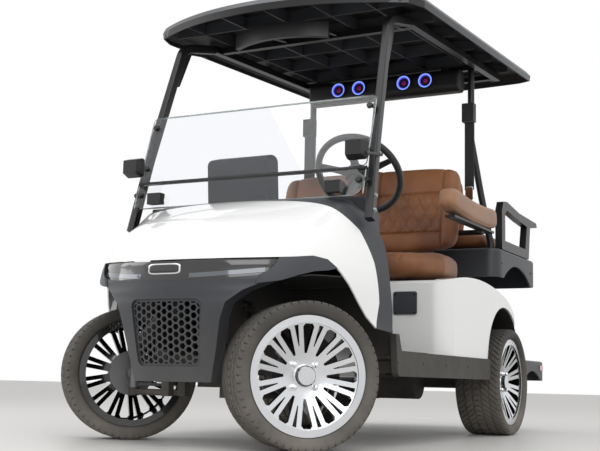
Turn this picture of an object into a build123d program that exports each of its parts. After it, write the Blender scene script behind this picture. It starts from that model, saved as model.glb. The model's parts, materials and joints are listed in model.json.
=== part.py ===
"""Golf cart with a two-seat bench, a rear-facing second bench, a canopy and a fold-flat rear seat.

All sizes are in millimetres.  +Z is up, -Y is the front of the cart and +X is its left side.
The origin lies on the ground under the middle of the cart's box.  The front wheels are parked
turned to the right against their steering stop, which is the rest position of the steering.
"""

import os
from math import cos, radians, sin

from build123d import *

os.makedirs("parts", exist_ok=True)

# ---------------------------------------------------------------- driving dimensions
wheelbase = 1670
rear_reach = 2450            # front axle to the rear edge of the footboard
kingpin_offset = 317         # cart centre to the kingpin axis
kingpin_to_wheel = 131       # kingpin axis to the middle of the tyre
rear_wheel_offset = 510      # cart centre to the middle of the rear tyre
parked_steer = 44            # the front wheels' angle at rest, turned right

tyre_radius = 243
tyre_width = 205
tyre_wall = 11
bead_radius = 178
rim_width = 176
flange_radius = 195
rim_wall = 6
spoke_count = 12
hub_pad_offset = 18          # tyre middle to the pad that meets the hub
lug_circle = 101.6
lug_hole_radius = 6.5
hub_bore_radius = 32
lug_count = 4
running_gap = 0.3            # between curved faces of pieces that move past each other

body_half_width = 580
panel_wall = 5
sill_bottom = 250
sill_top = 340
floor_top = 340
floor_wall = 15

rail_offset = 120            # cart centre to the middle of a frame rail
rail_width = 50
rail_bottom = 250
rail_height = 75
rail_front = -120            # behind the front axle
rail_rear = 2365
kick_front = 1385            # where the rails start to rise over the rear axle
kick_rear = 1925
kick_run = 75
kick_height = 100

seat_front = 870
seat_rear = 1290
seat_deck_top = 648
seat_plate = 10
cushion_height = 135
cushion_half_width = 505
back_half_width = 450
back_height = 400
back_thickness = 90
back_lean = 9                # degrees

roof_front = 260
roof_rear = 2110
roof_half_width = 600
roof_lip_height = 1660       # underside of the lip at the front
roof_slope = 3.7             # degrees, rising to the rear
roof_lip = 48
roof_crown = 70
roof_wall = 6
roof_rib_gap = 15            # lip's lower edge up to the ribs
roof_rail_offset = 470

strut_width = 38
strut_depth = 30
rear_strut_radius = 16

deck_top = 870
deck_skirt = 136
deck_front = 1640
deck_rear = 2300
deck_half_width = 550

step_top = 355
step_skirt = 100
step_front = 2030
step_half_width = 550

steering_wheel_radius = 172
steering_rim_radius = 15
steering_centre = (290, 620, 1050)   # across, behind the front axle, up
steering_tilt = 41                   # degrees the wheel's plane leans from upright

# ---------------------------------------------------------------- places worked out
steer = radians(parked_steer)
front_reach = kingpin_to_wheel * sin(steer) + tyre_radius * cos(steer) + tyre_width / 2 * sin(steer)
front_axle = front_reach - (front_reach + rear_reach) / 2
rail_top = rail_bottom + rail_height


def behind(distance):
    """The Y of a point that lies this far behind the front axle."""
    return front_axle + distance


def block(x_span, y_span, z_span, mode=Mode.ADD):
    """Put a bar or plate between two corners; its Y span is behind the front axle."""
    low = Vector(x_span[0], behind(y_span[0]), z_span[0])
    high = Vector(x_span[1], behind(y_span[1]), z_span[1])
    size = high - low
    with Locations((low + high) / 2):
        Box(size.X, size.Y, size.Z, mode=mode)


def tube(points, radius, bend):
    """Sweep a round bar along straight runs joined by tangent bends."""
    places = [(x, behind(y), z) for x, y, z in points]
    with BuildLine() as route:
        if len(places) > 2:
            FilletPolyline(*places, radius=bend)
        else:
            Line(*places)
    start = Plane(origin=route.line @ 0, z_dir=route.line % 0)
    with BuildSketch(start) as section:
        Circle(radius)
    sweep(section.sketch, path=route.line)


def rod(start, end, radius, mode=Mode.ADD):
    """A straight round bar from one point to another."""
    low = Vector(start[0], behind(start[1]), start[2])
    high = Vector(end[0], behind(end[1]), end[2])
    with BuildSketch(Plane(origin=low, z_dir=high - low)) as section:
        Circle(radius)
    extrude(section.sketch, amount=(high - low).length, mode=mode)


def side_profile(points):
    """A closed outline seen from the side, from (behind the front axle, up) points."""
    with BuildSketch(Plane.YZ) as outline:
        with BuildLine():
            Polyline(*[(behind(y), z) for y, z in points], close=True)
        make_face()
    return outline.sketch


def keep_between(points, half_width, mode=Mode.INTERSECT):
    """Trim a part to a side outline that runs right across the cart."""
    extrude(side_profile(points), amount=half_width, both=True, mode=mode)


def finish(piece, name):
    """Label a finished piece and write it."""
    piece.part.label = name
    export_step(piece.part, f"parts/{name}.step")


# ---------------------------------------------------------------- ladder frame
rail_inner = rail_offset - rail_width / 2
rail_outer = rail_offset + rail_width / 2
cross_members = (-95, 400, 880, 1330, 1960, 2300)
outriggers = (420, 1290)
cross_size = 44
outrigger_reach = body_half_width + 6 - 24
post_size = 36
seat_posts = (930, 1270)
deck_posts = (1800, 1990)
deck_shell = 20              # deck top down to the posts

rail_outline = [(rail_front, rail_bottom), (kick_front, rail_bottom),
                (kick_front + kick_run, rail_bottom + kick_height),
                (kick_rear - kick_run, rail_bottom + kick_height), (kick_rear, rail_bottom),
                (rail_rear, rail_bottom), (rail_rear, rail_top), (kick_rear + 30, rail_top),
                (kick_rear + 30 - kick_run, rail_top + kick_height),
                (kick_front - 30 + kick_run, rail_top + kick_height), (kick_front - 30, rail_top),
                (rail_front, rail_top)]

with BuildPart() as frame:
    for side in (-1, 1):
        with BuildSketch(Plane.YZ.offset(side * rail_offset - rail_width / 2)) as rail_side:
            with BuildLine():
                Polyline(*[(behind(y), z) for y, z in rail_outline], close=True)
            make_face()
        extrude(rail_side.sketch, amount=rail_width)
        for post in seat_posts:
            centre = side * rail_offset
            block((centre - post_size / 2, centre + post_size / 2),
                  (post - post_size / 2, post + post_size / 2),
                  (rail_top, seat_deck_top - seat_plate))
        for post in deck_posts:
            centre = side * rail_offset
            block((centre - post_size / 2, centre + post_size / 2),
                  (post - post_size / 2, post + post_size / 2),
                  (rail_top, deck_top - deck_shell))
        for place in outriggers:
            near, far = sorted((side * rail_outer, side * outrigger_reach))
            block((near, far), (place - cross_size / 2, place + cross_size / 2),
                  (rail_bottom + 12, rail_bottom + 12 + cross_size))
    for place in cross_members:
        block((-rail_inner, rail_inner), (place - cross_size / 2, place + cross_size / 2),
              (rail_bottom + 12, rail_bottom + 12 + cross_size))
finish(frame, "frame")

# ---------------------------------------------------------------- floor and toe board
toe_front = 272
toe_top = 660
toe_foot = 362
floor_half_width = body_half_width - 26

with BuildPart() as floor_pan:
    keep_between([(toe_foot, floor_top - floor_wall), (seat_front + 12, floor_top - floor_wall),
                  (seat_front + 12, floor_top), (toe_foot + 6, floor_top),
                  (toe_front + floor_wall, toe_top), (toe_front, toe_top)],
                 floor_half_width, mode=Mode.ADD)
finish(floor_pan, "floor_pan")

# ---------------------------------------------------------------- sills
sill_front = 335
sill_rear = 1400
sill_depth = 24

with BuildPart() as sills:
    for side in (-1, 1):
        with BuildSketch(Plane.YZ.offset(side * (body_half_width + 6))) as sill_side:
            with BuildLine():
                Polyline((behind(sill_front), sill_top + 60), (behind(sill_front - 30), sill_top + 60),
                         (behind(sill_front - 10), sill_bottom + 10),
                         (behind(sill_front + 6), sill_bottom), (behind(sill_rear), sill_bottom),
                         (behind(sill_rear), sill_top), (behind(sill_front + 26), sill_top), close=True)
            make_face()
        extrude(sill_side.sketch, amount=-side * sill_depth)
finish(sills, "sills")

# ---------------------------------------------------------------- nose skin
# Plan sections of the front body: height, nose tip, shoulder across, shoulder back, rear across.
nose_sections = (
    (380, -305, 508, -20, 590),
    (600, -305, 462, -20, 578),
    (700, -250, 428, 2, 551),
    (780, -135, 398, 60, 515),
    (842, 10, 372, 120, 466),
    (885, 150, 335, 196, 412),
)
skin_rear = 284


def nose_solid(inset, mode=Mode.ADD):
    """Loft the front body through its plan sections, each drawn in by one inset."""
    sections = []
    for height, tip, shoulder_x, shoulder_y, rear_x in nose_sections:
        with BuildSketch(Plane.XY.offset(height - inset)) as section:
            with BuildLine():
                left = (shoulder_x - 0.8 * inset, behind(shoulder_y + 0.6 * inset))
                right = (-left[0], left[1])
                nose = ThreePointArc(right, (0, behind(tip + inset)), left)
                near = TangentArc(nose @ 1, (rear_x - inset, behind(skin_rear)), tangent=nose % 1)
                far = TangentArc(nose @ 0, (inset - rear_x, behind(skin_rear)),
                                 tangent=(-(nose % 0).X, -(nose % 0).Y))
                Line(near @ 1, far @ 1)
            make_face()
        sections.append(section.sketch.face())
    loft(sections, mode=mode)


# Seen from the side: where the hood ends over the fascia and wheel, and where the dark trim starts.
hood_lower_edge = [(-340, 612), (-120, 634), (-50, 644), (0, 636), (30, 608), (67, 556), (100, 500),
                   (135, 448), (170, 412)]
trim_line = [(196, 500), (204, 645), (192, 760), (140, 838), (112, 870), (112, 960)]

with BuildPart() as hood:
    nose_solid(0)
    nose_solid(panel_wall, mode=Mode.SUBTRACT)
    block((-700, 700), (skin_rear - 12, skin_rear + 1), (300, 1000), mode=Mode.SUBTRACT)
    keep_between(hood_lower_edge + trim_line + [(-340, 960)], body_half_width + 40)
finish(hood, "hood")

with BuildPart() as cowl_trim:
    nose_solid(0)
    nose_solid(panel_wall, mode=Mode.SUBTRACT)
    keep_between([(171, 410)] + [(y + running_gap, z) for y, z in trim_line]
                 + [(skin_rear, 960), (skin_rear, 700), (262, 560), (252, 400)], body_half_width + 40)
finish(cowl_trim, "cowl_trim")

# ---------------------------------------------------------------- front fascia
# Height, nose tip, half width, side edge: all behind the front axle.
fascia_sections = (
    (215, -256, 152, -226),
    (320, -280, 176, -240),
    (420, -293, 196, -256),
    (476, -298, 216, -258),
    (516, -301, 264, -233),
    (556, -302, 338, -178),
    (612, -302, 400, -98),
    (640, -287, 391, -96),
)
fascia_wall = 6
fascia_depth = 60


def fascia_solid(inset, mode=Mode.ADD):
    """Loft the lower nose through its plan sections, drawn in by one inset."""
    sections = []
    for height, tip, half_width, edge in fascia_sections:
        with BuildSketch(Plane.XY.offset(height)) as section:
            with BuildLine():
                bow = ThreePointArc((inset - half_width, behind(edge + inset)), (0, behind(tip + inset)),
                                    (half_width - inset, behind(edge + inset)))
                rear = edge + fascia_depth + inset
                Polyline(bow @ 1, (half_width - inset, behind(rear)),
                         (inset - half_width, behind(rear)), bow @ 0)
            make_face()
        sections.append(section.sketch.face())
    loft(sections, ruled=True, mode=mode)


grille_bottom = 266
grille_top = 486
grille_top_half = 141
grille_bottom_half = 122
grille_corner = 22


def grille_outline(inset):
    """The grille's rounded panel outline, seen from the front."""
    with BuildSketch(Plane.XZ) as outline:
        with BuildLine():
            Polyline((-grille_bottom_half + inset, grille_bottom + inset),
                     (grille_bottom_half - inset, grille_bottom + inset),
                     (grille_top_half - inset, grille_top - inset),
                     (-grille_top_half + inset, grille_top - inset), close=True)
        make_face()
        fillet(outline.vertices(), grille_corner)
    return outline.sketch


band_tip = 355
band_tip_height = 634
band_top_centre = 612
band_bottom = 546
band_knee = 296
band_knee_height = 566
band_depth = 22
lamp_inner = 96
lamp_outer = 322
lamp_rise = 7
lamp_height = 15


def band_outline(rise, height):
    """A curved strip that lies this far above the light band's lower edge, seen from the front."""
    with BuildSketch(Plane.XZ) as outline:
        with BuildLine():
            lower = ThreePointArc((-lamp_outer, band_knee_height + rise + 6), (0, band_bottom + rise),
                                  (lamp_outer, band_knee_height + rise + 6))
            upper = ThreePointArc((lamp_outer, band_knee_height + rise + height + 6),
                                  (0, band_bottom + rise + height),
                                  (-lamp_outer, band_knee_height + rise + height + 6))
            Line(lower @ 1, upper @ 0)
            Line(upper @ 1, lower @ 0)
        make_face()
        Rectangle(2 * lamp_inner, 2 * band_top_centre, mode=Mode.SUBTRACT)
    return outline.sketch


with BuildSketch(Plane.XZ) as band_front:
    with BuildLine():
        belly = ThreePointArc((-band_knee, band_knee_height), (0, band_bottom), (band_knee, band_knee_height))
        right_end = TangentArc(belly @ 1, (band_tip, band_tip_height), tangent=belly % 1)
        left_end = TangentArc(belly @ 0, (-band_tip, band_tip_height), tangent=belly.tangent_at(0) * -1)
        ThreePointArc(right_end @ 1, (0, band_top_centre), left_end @ 1)
    make_face()

through = 2000
brow = ([(-210, 540), (-190, 600), (-150, 630)] + [(y, z - running_gap) for y, z in hood_lower_edge[1:5]]
        + [(-10, 597), (-60, 590), (-110, 574), (-160, 552)])

with BuildPart() as brow_skin:
    nose_solid(0)
    nose_solid(panel_wall, mode=Mode.SUBTRACT)
    keep_between(brow, body_half_width)

with BuildPart() as front_fascia:
    fascia_solid(0)
    fascia_solid(fascia_wall, mode=Mode.SUBTRACT)
    extrude(grille_outline(0), amount=through, mode=Mode.SUBTRACT)
    keep_between([(-400, 200), (-100, 200), (-100, 590), (-140, 611), (-400, 611)], 600)
    add(brow_skin.part)
    extrude(band_front.sketch, amount=through, mode=Mode.SUBTRACT)
    for side in (-1, 1):
        block(sorted((side * 130, side * 140)), (-243, rail_front), (270, 300))
finish(front_fascia, "front_fascia")

with BuildPart() as light_band:
    fascia_solid(2)
    fascia_solid(band_depth, mode=Mode.SUBTRACT)
    extrude(offset(band_front.sketch, -running_gap, mode=Mode.PRIVATE), amount=through,
            mode=Mode.INTERSECT)
    block((-600, 600), (-100, 300), (400, 700), mode=Mode.SUBTRACT)
    extrude(band_outline(lamp_rise, lamp_height), amount=through, mode=Mode.SUBTRACT)
    add(hood.part, mode=Mode.SUBTRACT)
finish(light_band, "light_band")

with BuildPart() as headlamps:
    fascia_solid(0.5)
    fascia_solid(band_depth, mode=Mode.SUBTRACT)
    extrude(band_outline(lamp_rise, lamp_height), amount=through, mode=Mode.INTERSECT)
    block((-600, 600), (-100, 300), (400, 700), mode=Mode.SUBTRACT)
finish(headlamps, "headlamps")

# A plate bowed like the fascia, pierced by a honeycomb.
cell_radius = 12.5
cell_web = 3
cells_across = 13
cells_up = 11

with BuildPart() as grille:
    fascia_solid(fascia_wall + running_gap)
    fascia_solid(fascia_wall + 6, mode=Mode.SUBTRACT)
    extrude(grille_outline(-6), amount=through, mode=Mode.INTERSECT)
    block((-300, 300), (-170, 300), (200, 700), mode=Mode.SUBTRACT)
    with BuildSketch(Plane.XZ) as honeycomb:
        with Locations((0, (grille_bottom + grille_top) / 2)):
            with HexLocations(cell_radius, cells_across, cells_up):
                RegularPolygon(cell_radius - cell_web / 2, 6)
    extrude(honeycomb.sketch & grille_outline(8), amount=through, mode=Mode.SUBTRACT)
    add(front_fascia.part, mode=Mode.SUBTRACT)
finish(grille, "grille")

# ---------------------------------------------------------------- wheel arch liners
liner_wall = 4
liner_inner = rail_outer + liner_wall
rear_liner_inner = 386
rear_arch = ((1385, sill_top), (1650, 584), (1868, 430))     # front foot, crown, rear foot


def arch_line(inset):
    """The rear wheel opening's arc, drawn in by one inset."""
    front, crown, rear = rear_arch
    return ThreePointArc((behind(front[0] + inset), front[1]), (behind(crown[0]), crown[1] - inset),
                         (behind(rear[0] - inset), rear[1]))


with BuildPart() as wheel_liners:
    nose_solid(panel_wall + 1)
    keep_between([(-95, 574), (-60, 580), (120, 584), (toe_front - 10, 566), (toe_front - 10, 562),
                  (120, 580), (-60, 576), (-95, 570)], body_half_width)
    block((-liner_inner, liner_inner), (-400, 400), (300, 700), mode=Mode.SUBTRACT)
    for side in (-1, 1):
        near, far = sorted((side * liner_inner, side * (liner_inner - liner_wall)))
        block((near, far), (-118, toe_front - 10), (rail_top - 30, 581))
        block((near - 1, far + 1), (-34, 34), (440, 500), mode=Mode.SUBTRACT)
        with BuildSketch(Plane.YZ.offset(side * rear_liner_inner)) as rear_strip:
            with BuildLine():
                outer = arch_line(1)
                inner = arch_line(1 + liner_wall)
                Line(outer @ 0, inner @ 0)
                Line(outer @ 1, inner @ 1)
            make_face()
        extrude(rear_strip.sketch, amount=side * (body_half_width - panel_wall - 2 - rear_liner_inner))
        with BuildSketch(Plane.YZ.offset(side * rear_liner_inner)) as rear_wall:
            with BuildLine():
                outer = arch_line(1)
                Line(outer @ 1, outer @ 0)
            make_face()
            with Locations((behind(wheelbase), tyre_radius)):
                Circle(110, mode=Mode.SUBTRACT)
        extrude(rear_wall.sketch, amount=-side * liner_wall)
finish(wheel_liners, "wheel_liners")

# ---------------------------------------------------------------- steering line
tilt = radians(steering_tilt)
wheel_up = Vector(0, cos(tilt), sin(tilt))
steering_plane = Plane(origin=(steering_centre[0], behind(steering_centre[1]), steering_centre[2]),
                       x_dir=(1, 0, 0), z_dir=wheel_up)
column_pin_radius = 11
column_radius = 24
column_length = 265

# ---------------------------------------------------------------- dash
dash_half_width = 470
dash_front = skin_rear
dash_rear = 415
dash_top = 888
display_centre = -80
display_width = 300
display_foot = (360, 890)
display_height = 215
display_depth = 50

with BuildPart() as dash:
    with BuildSketch(Plane.YZ) as dash_side:
        with BuildLine():
            Polyline((behind(dash_front), toe_top), (behind(dash_front), dash_top + 14),
                     (behind(dash_rear - 60), dash_top), (behind(dash_rear), dash_top - 40),
                     (behind(dash_rear), dash_top - 130), (behind(dash_rear - 50), dash_top - 170),
                     (behind(dash_front + 30), toe_top), close=True)
        make_face()
    extrude(dash_side.sketch, amount=dash_half_width, both=True)
    fillet(dash.edges().filter_by(Axis.X).group_by(Axis.Z)[-1], 8)
    with Locations((0, behind(dash_rear), dash_top - 85)):
        for place in (-300, -60):
            with Locations((place, 0, 0)):
                Box(200, 120, 70, mode=Mode.SUBTRACT)
    display_plane = Plane(origin=(display_centre, behind(display_foot[0]), display_foot[1] - 8),
                          x_dir=(1, 0, 0), z_dir=(0, -cos(radians(5)), -sin(radians(5))))
    with BuildSketch(display_plane) as display_face:
        with Locations((0, display_height / 2)):
            RectangleRounded(display_width, display_height, 34)
    extrude(display_face.sketch, amount=display_depth, taper=12)
    with BuildSketch(steering_plane.offset(-400)) as column_hole:
        Circle(column_radius + running_gap)
    extrude(column_hole.sketch, amount=300, mode=Mode.SUBTRACT)
finish(dash, "dash")

# ---------------------------------------------------------------- windscreen
screen_half_width = 498
screen_foot = (196, 884.6)          # behind the front axle, up
screen_fold = (226, 992)
screen_head = (318, 1283)
screen_thickness = 5
screen_corner = 45
screen_gap = 5
catch_offset = 388
fold_bar_radius = 7.6


def pane(foot, head, name):
    """One flat pane between two heights of the leaning screen."""
    low = Vector(0, behind(foot[0]), foot[1])
    rise = Vector(0, behind(head[0]), head[1]) - low
    face = Plane(origin=low, x_dir=(1, 0, 0), z_dir=Vector(1, 0, 0).cross(rise))
    with BuildSketch(face) as outline:
        with Locations((0, rise.length / 2)):
            RectangleRounded(2 * screen_half_width, rise.length, screen_corner if name == "low" else 24)
    extrude(outline.sketch, amount=screen_thickness)


with BuildPart() as windscreen:
    pane(screen_foot, (screen_fold[0] - 2, screen_fold[1] - screen_gap), "low")
    pane((screen_fold[0] + 2, screen_fold[1] + screen_gap), screen_head, "high")
    add(cowl_trim.part, mode=Mode.SUBTRACT)
finish(windscreen, "windscreen")

catch_size = (60, 34, 44)
clamp_heights = (946, 1060, 1240)


# ---------------------------------------------------------------- canopy struts
strut_foot = (216, 800)
strut_bends = ((296, 1100), (468, 1625))
strut_head = (700, 1686)
strut_foot_across = 518
strut_lean = (strut_foot_across - roof_rail_offset) / (strut_head[1] - strut_foot[1])
gusset_reach = 150
gusset_wall = 6


def strut_plane(side):
    """The leaning plane that holds one front strut; its x runs rearward and its y up the strut."""
    up = Vector(-side * strut_lean, 0, 1)
    origin = Vector(side * strut_foot_across, behind(strut_foot[0]), strut_foot[1])
    return Plane(origin=origin, x_dir=(0, 1, 0), z_dir=Vector(0, 1, 0).cross(up))


def on_strut(point):
    """A place on the strut's plane from its distance behind the axle and its height."""
    stretch = (1 + strut_lean ** 2) ** 0.5
    return (point[0] - strut_foot[0], (point[1] - strut_foot[1]) * stretch)


with BuildPart() as front_struts:
    for side in (-1, 1):
        plane = strut_plane(side)
        corners = [on_strut(point) for point in (strut_foot, *strut_bends, strut_head)]
        with BuildLine(plane) as strut_route:
            FilletPolyline(*corners, radius=(260, 90))
        with BuildSketch(Plane(origin=strut_route.line @ 0, x_dir=plane.z_dir,
                               z_dir=strut_route.line % 0)) as strut_section:
            RectangleRounded(strut_depth, strut_width, 6)
        sweep(strut_section.sketch, path=strut_route.line)
        bend = on_strut(strut_bends[1])
        with BuildSketch(plane.offset(-gusset_wall / 2)) as gusset:
            with BuildLine():
                Polyline((bend[0] - 10, bend[1] - gusset_reach - 20), (bend[0] + 60, bend[1] - 12),
                         (bend[0] + gusset_reach + 30, bend[1] + 10), (bend[0] + 24, bend[1] - 6),
                         (bend[0] - 40, bend[1] - gusset_reach - 30), close=True)
            make_face()
        extrude(gusset.sketch, amount=gusset_wall)
finish(front_struts, "front_struts")

rear_strut_route = ((492, 1708, deck_top), (492, 1708, deck_top + 30), (458, 1668, 1130), (426, 1618, 1390),
                    (426, 1616, 1735.4))

with BuildPart() as rear_struts:
    for side in (-1, 1):
        tube([(side * x, y, z) for x, y, z in rear_strut_route], rear_strut_radius, 90)
finish(rear_struts, "rear_struts")

with BuildPart() as screen_fittings:
    slope = (screen_head[0] - screen_fold[0]) / (screen_head[1] - screen_fold[1])
    rod((-screen_half_width, screen_fold[0] + 3, screen_fold[1]),
        (screen_half_width, screen_fold[0] + 3, screen_fold[1]), fold_bar_radius)
    for side in (-1, 1):
        centre = side * catch_offset
        block((centre - catch_size[0] / 2, centre + catch_size[0] / 2),
              (screen_foot[0] + 8 - catch_size[1], screen_foot[0] + 8), (900, 900 + catch_size[2]))
        for height in clamp_heights:
            near = screen_foot[0] + (height - screen_foot[1]) * slope
            centre = side * (strut_foot_across - strut_lean * (height - strut_foot[1]) - 8)
            rod((centre, near - 5, height), (centre, near + 40, height), 9)
    add(windscreen.part, mode=Mode.SUBTRACT)
    add(front_struts.part, mode=Mode.SUBTRACT)
finish(screen_fittings, "screen_fittings")

# ---------------------------------------------------------------- canopy
canopy_plane = Plane(origin=(0, behind(roof_front), roof_lip_height), x_dir=(1, 0, 0),
                     z_dir=Vector(1, 0, 0).cross(Vector(0, cos(radians(roof_slope)), sin(radians(roof_slope)))))
canopy_length = (roof_rear - roof_front) / cos(radians(roof_slope))
canopy_bow = 190
canopy_rear_bow = 30
canopy_levels = ((0, 4), (roof_lip * 0.55, 0), (roof_lip, 16), (roof_crown, 150))   # height, drawn in
rib_rows = 7
rib_columns = 6
rib_wall = 8


def canopy_sketch(level, inset):
    """The canopy's outline: a bowed front, straight sides and rounded rear corners."""
    with BuildSketch(canopy_plane.offset(level)) as outline:
        half = roof_half_width - inset
        with BuildLine():
            ThreePointArc((-half + 30, canopy_bow), (0, inset), (half - 30, canopy_bow))
            Polyline((half - 30, canopy_bow), (half, canopy_bow + 90), (half, canopy_length - 60 - inset),
                     (half - 60, canopy_length - canopy_rear_bow - inset))
            ThreePointArc((half - 60, canopy_length - canopy_rear_bow - inset), (0, canopy_length - inset),
                          (60 - half, canopy_length - canopy_rear_bow - inset))
            Polyline((60 - half, canopy_length - canopy_rear_bow - inset), (-half, canopy_length - 60 - inset),
                     (-half, canopy_bow + 90), (30 - half, canopy_bow))
        make_face()
    return outline.sketch.face()


def canopy_solid(drop, mode=Mode.ADD):
    """Loft the canopy's levels, lowered and drawn in by one drop."""
    loft([canopy_sketch(level - drop, inset + drop) for level, inset in canopy_levels], ruled=True, mode=mode)


with BuildPart() as roof_ribs:
    canopy_solid(roof_wall - 1)
    with BuildSketch(canopy_plane.offset(roof_rib_gap)) as rib_grid:
        with Locations((0, canopy_length / 2)):
            with GridLocations(2 * roof_half_width / rib_columns, 1, rib_columns - 1, 1):
                Rectangle(rib_wall, canopy_length - 120)
            with GridLocations(1, canopy_length / rib_rows, 1, rib_rows - 1):
                Rectangle(2 * roof_half_width - 120, rib_wall)
    extrude(rib_grid.sketch, amount=roof_crown, mode=Mode.INTERSECT)

with BuildPart() as roof:
    canopy_solid(0)
    canopy_solid(roof_wall, mode=Mode.SUBTRACT)
    add(roof_ribs.part)
finish(roof, "roof")


def under_canopy(distance, drop):
    """The height of a point this far below the canopy lip's lower edge."""
    return roof_lip_height + (distance - roof_front) * sin(radians(roof_slope)) / cos(radians(roof_slope)) - drop


roof_rail_front = strut_head[0] + running_gap
roof_rail_rear = 1900
roof_cross_bars = (760, 1616, 1870)
rail_half_height = 15

with BuildPart() as roof_rails:
    for side in (-1, 1):
        centre = side * roof_rail_offset
        with BuildSketch(Plane.YZ.offset(centre - 16)) as roof_rail_side:
            with BuildLine():
                Polyline(*[(behind(y), under_canopy(y, drop)) for y, drop in (
                    (roof_rail_front, rail_half_height), (roof_rail_rear, rail_half_height),
                    (roof_rail_rear, -rail_half_height), (roof_rail_front, -rail_half_height))], close=True)
            make_face()
        extrude(roof_rail_side.sketch, amount=32)
    for place in roof_cross_bars:
        height = under_canopy(place, 0)
        block((16 - roof_rail_offset, roof_rail_offset - 16), (place - 14, place + 14),
              (height - 12, height + 12))
    add(front_struts.part, mode=Mode.SUBTRACT)
finish(roof_rails, "roof_rails")

# ---------------------------------------------------------------- sound bar
bar_half_length = 400
bar_place = (1555, 1672)
bar_radius = 56
speaker_places = (-232, -120, 120, 232)
speaker_radius = 42

with BuildPart() as sound_bar:
    with BuildSketch(Plane.YZ) as bar_section:
        with Locations((behind(bar_place[0]), bar_place[1])):
            RectangleRounded(2 * bar_radius - 16, 2 * bar_radius, 34)
    extrude(bar_section.sketch, amount=bar_half_length, both=True)
    fillet(sound_bar.edges().filter_by(GeomType.CIRCLE), 12)
    front_face = Plane(origin=(0, behind(bar_place[0] - bar_radius + 8), bar_place[1] + 6),
                       x_dir=(1, 0, 0), z_dir=(0, -1, 0))
    with BuildSketch(front_face) as speaker_rims:
        with Locations(*[(place, 0) for place in speaker_places]):
            Circle(speaker_radius)
            Circle(speaker_radius - 7, mode=Mode.SUBTRACT)
    extrude(speaker_rims.sketch, amount=7)
    for side in (-1, 1):
        near, far = sorted((side * 300, side * 330))
        block((near, far), (bar_place[0] - 14, bar_place[0] + 14),
              (bar_place[1] + bar_radius - 6, under_canopy(bar_place[0], 0) - 2))
    block((-330, 330), (bar_place[0] - 14, roof_cross_bars[1] - 14),
          (under_canopy(bar_place[0], 0) - 8, under_canopy(bar_place[0], 0) - 2))
finish(sound_bar, "sound_bar")

# ---------------------------------------------------------------- mirrors
side_mirror = (484, 176, 1050)
mirror_size = (62, 40, 78)
wide_mirror_half = 215
wide_mirror_place = (470, 1622)

with BuildPart() as mirrors:
    for side in (-1, 1):
        x, y, z = side * side_mirror[0], behind(side_mirror[1]), side_mirror[2]
        with BuildSketch(Plane(origin=(x, y, z), x_dir=(1, 0, 0), z_dir=(0, 1, 0))) as mirror_face:
            RectangleRounded(mirror_size[0] + 26, mirror_size[2], 16)
        extrude(mirror_face.sketch, amount=-mirror_size[1], taper=18)
        rod((side * 523, side_mirror[1] - 16, side_mirror[2] - 20),
            (side * 528, 290, 1050), 7)
    with BuildSketch(Plane.XY.offset(wide_mirror_place[1] - 32)) as wide_plan:
        with BuildLine():
            outer = ThreePointArc((-wide_mirror_half, behind(wide_mirror_place[0])),
                                  (0, behind(wide_mirror_place[0] - 70)),
                                  (wide_mirror_half, behind(wide_mirror_place[0])))
            inner = ThreePointArc((wide_mirror_half - 6, behind(wide_mirror_place[0] + 22)),
                                  (0, behind(wide_mirror_place[0] - 48)),
                                  (6 - wide_mirror_half, behind(wide_mirror_place[0] + 22)))
            Line(outer @ 1, inner @ 0)
            Line(inner @ 1, outer @ 0)
        make_face()
    extrude(wide_plan.sketch, amount=64)
    for side in (-1, 1):
        rod((side * 120, wide_mirror_place[0] - 40, wide_mirror_place[1] + 20),
            (side * 120, roof_cross_bars[0] - 15.6, under_canopy(roof_cross_bars[0], 0)), 7)
finish(mirrors, "mirrors")

# ---------------------------------------------------------------- rear body
body_corner = 80
body_rear = rear_arch[2][0]
hatch_half_width = cushion_half_width + 8

with BuildSketch(Plane.YZ) as body_side:
    with BuildLine():
        Polyline((behind(rear_arch[0][0]), sill_top), (behind(seat_front), sill_top), (behind(seat_front), 634),
                 (behind(seat_front + 14), 646))
        ThreePointArc((behind(seat_front + 14), 646), (behind(1230), 680), (behind(1610), 640))
        ThreePointArc((behind(1610), 640), (behind(1752), 590), (behind(body_rear - 6), 490))
        Line((behind(body_rear - 6), 490), (behind(body_rear), 430))
        arch_line(0)
    make_face()

with BuildSketch(Plane.XY) as body_plan:
    with Locations((0, behind((seat_front + body_rear) / 2))):
        Rectangle(2 * body_half_width, body_rear - seat_front)
    fillet(body_plan.vertices(), body_corner)

with BuildPart() as rear_body:
    extrude(body_plan.sketch, amount=800)
    extrude(body_side.sketch, amount=body_half_width, both=True, mode=Mode.INTERSECT)
    with BuildPart(mode=Mode.PRIVATE) as body_core:
        extrude(offset(body_plan.sketch, -panel_wall, mode=Mode.PRIVATE), amount=800)
        core_side = offset(body_side.sketch, -panel_wall, mode=Mode.PRIVATE)
        extrude(core_side, amount=body_half_width, both=True, mode=Mode.INTERSECT)
    add(body_core.part, mode=Mode.SUBTRACT)
    block((-hatch_half_width, hatch_half_width), (seat_front + 14, body_rear - 20), (560, 800),
          mode=Mode.SUBTRACT)
    block((6 - body_half_width, body_half_width - 6), (seat_front + body_corner + 5, 1378), (300, 400),
          mode=Mode.SUBTRACT)
    block((body_corner + 5 - body_half_width, body_half_width - body_corner - 5), (seat_front + 8, 1378),
          (300, 400), mode=Mode.SUBTRACT)
    block((-rear_liner_inner + 10, rear_liner_inner - 10), (1378, body_rear + 10), (300, 560),
          mode=Mode.SUBTRACT)
finish(rear_body, "rear_body")

# ---------------------------------------------------------------- charge port
port_centre = (393, 553)
port_size = (104, 94)

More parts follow.
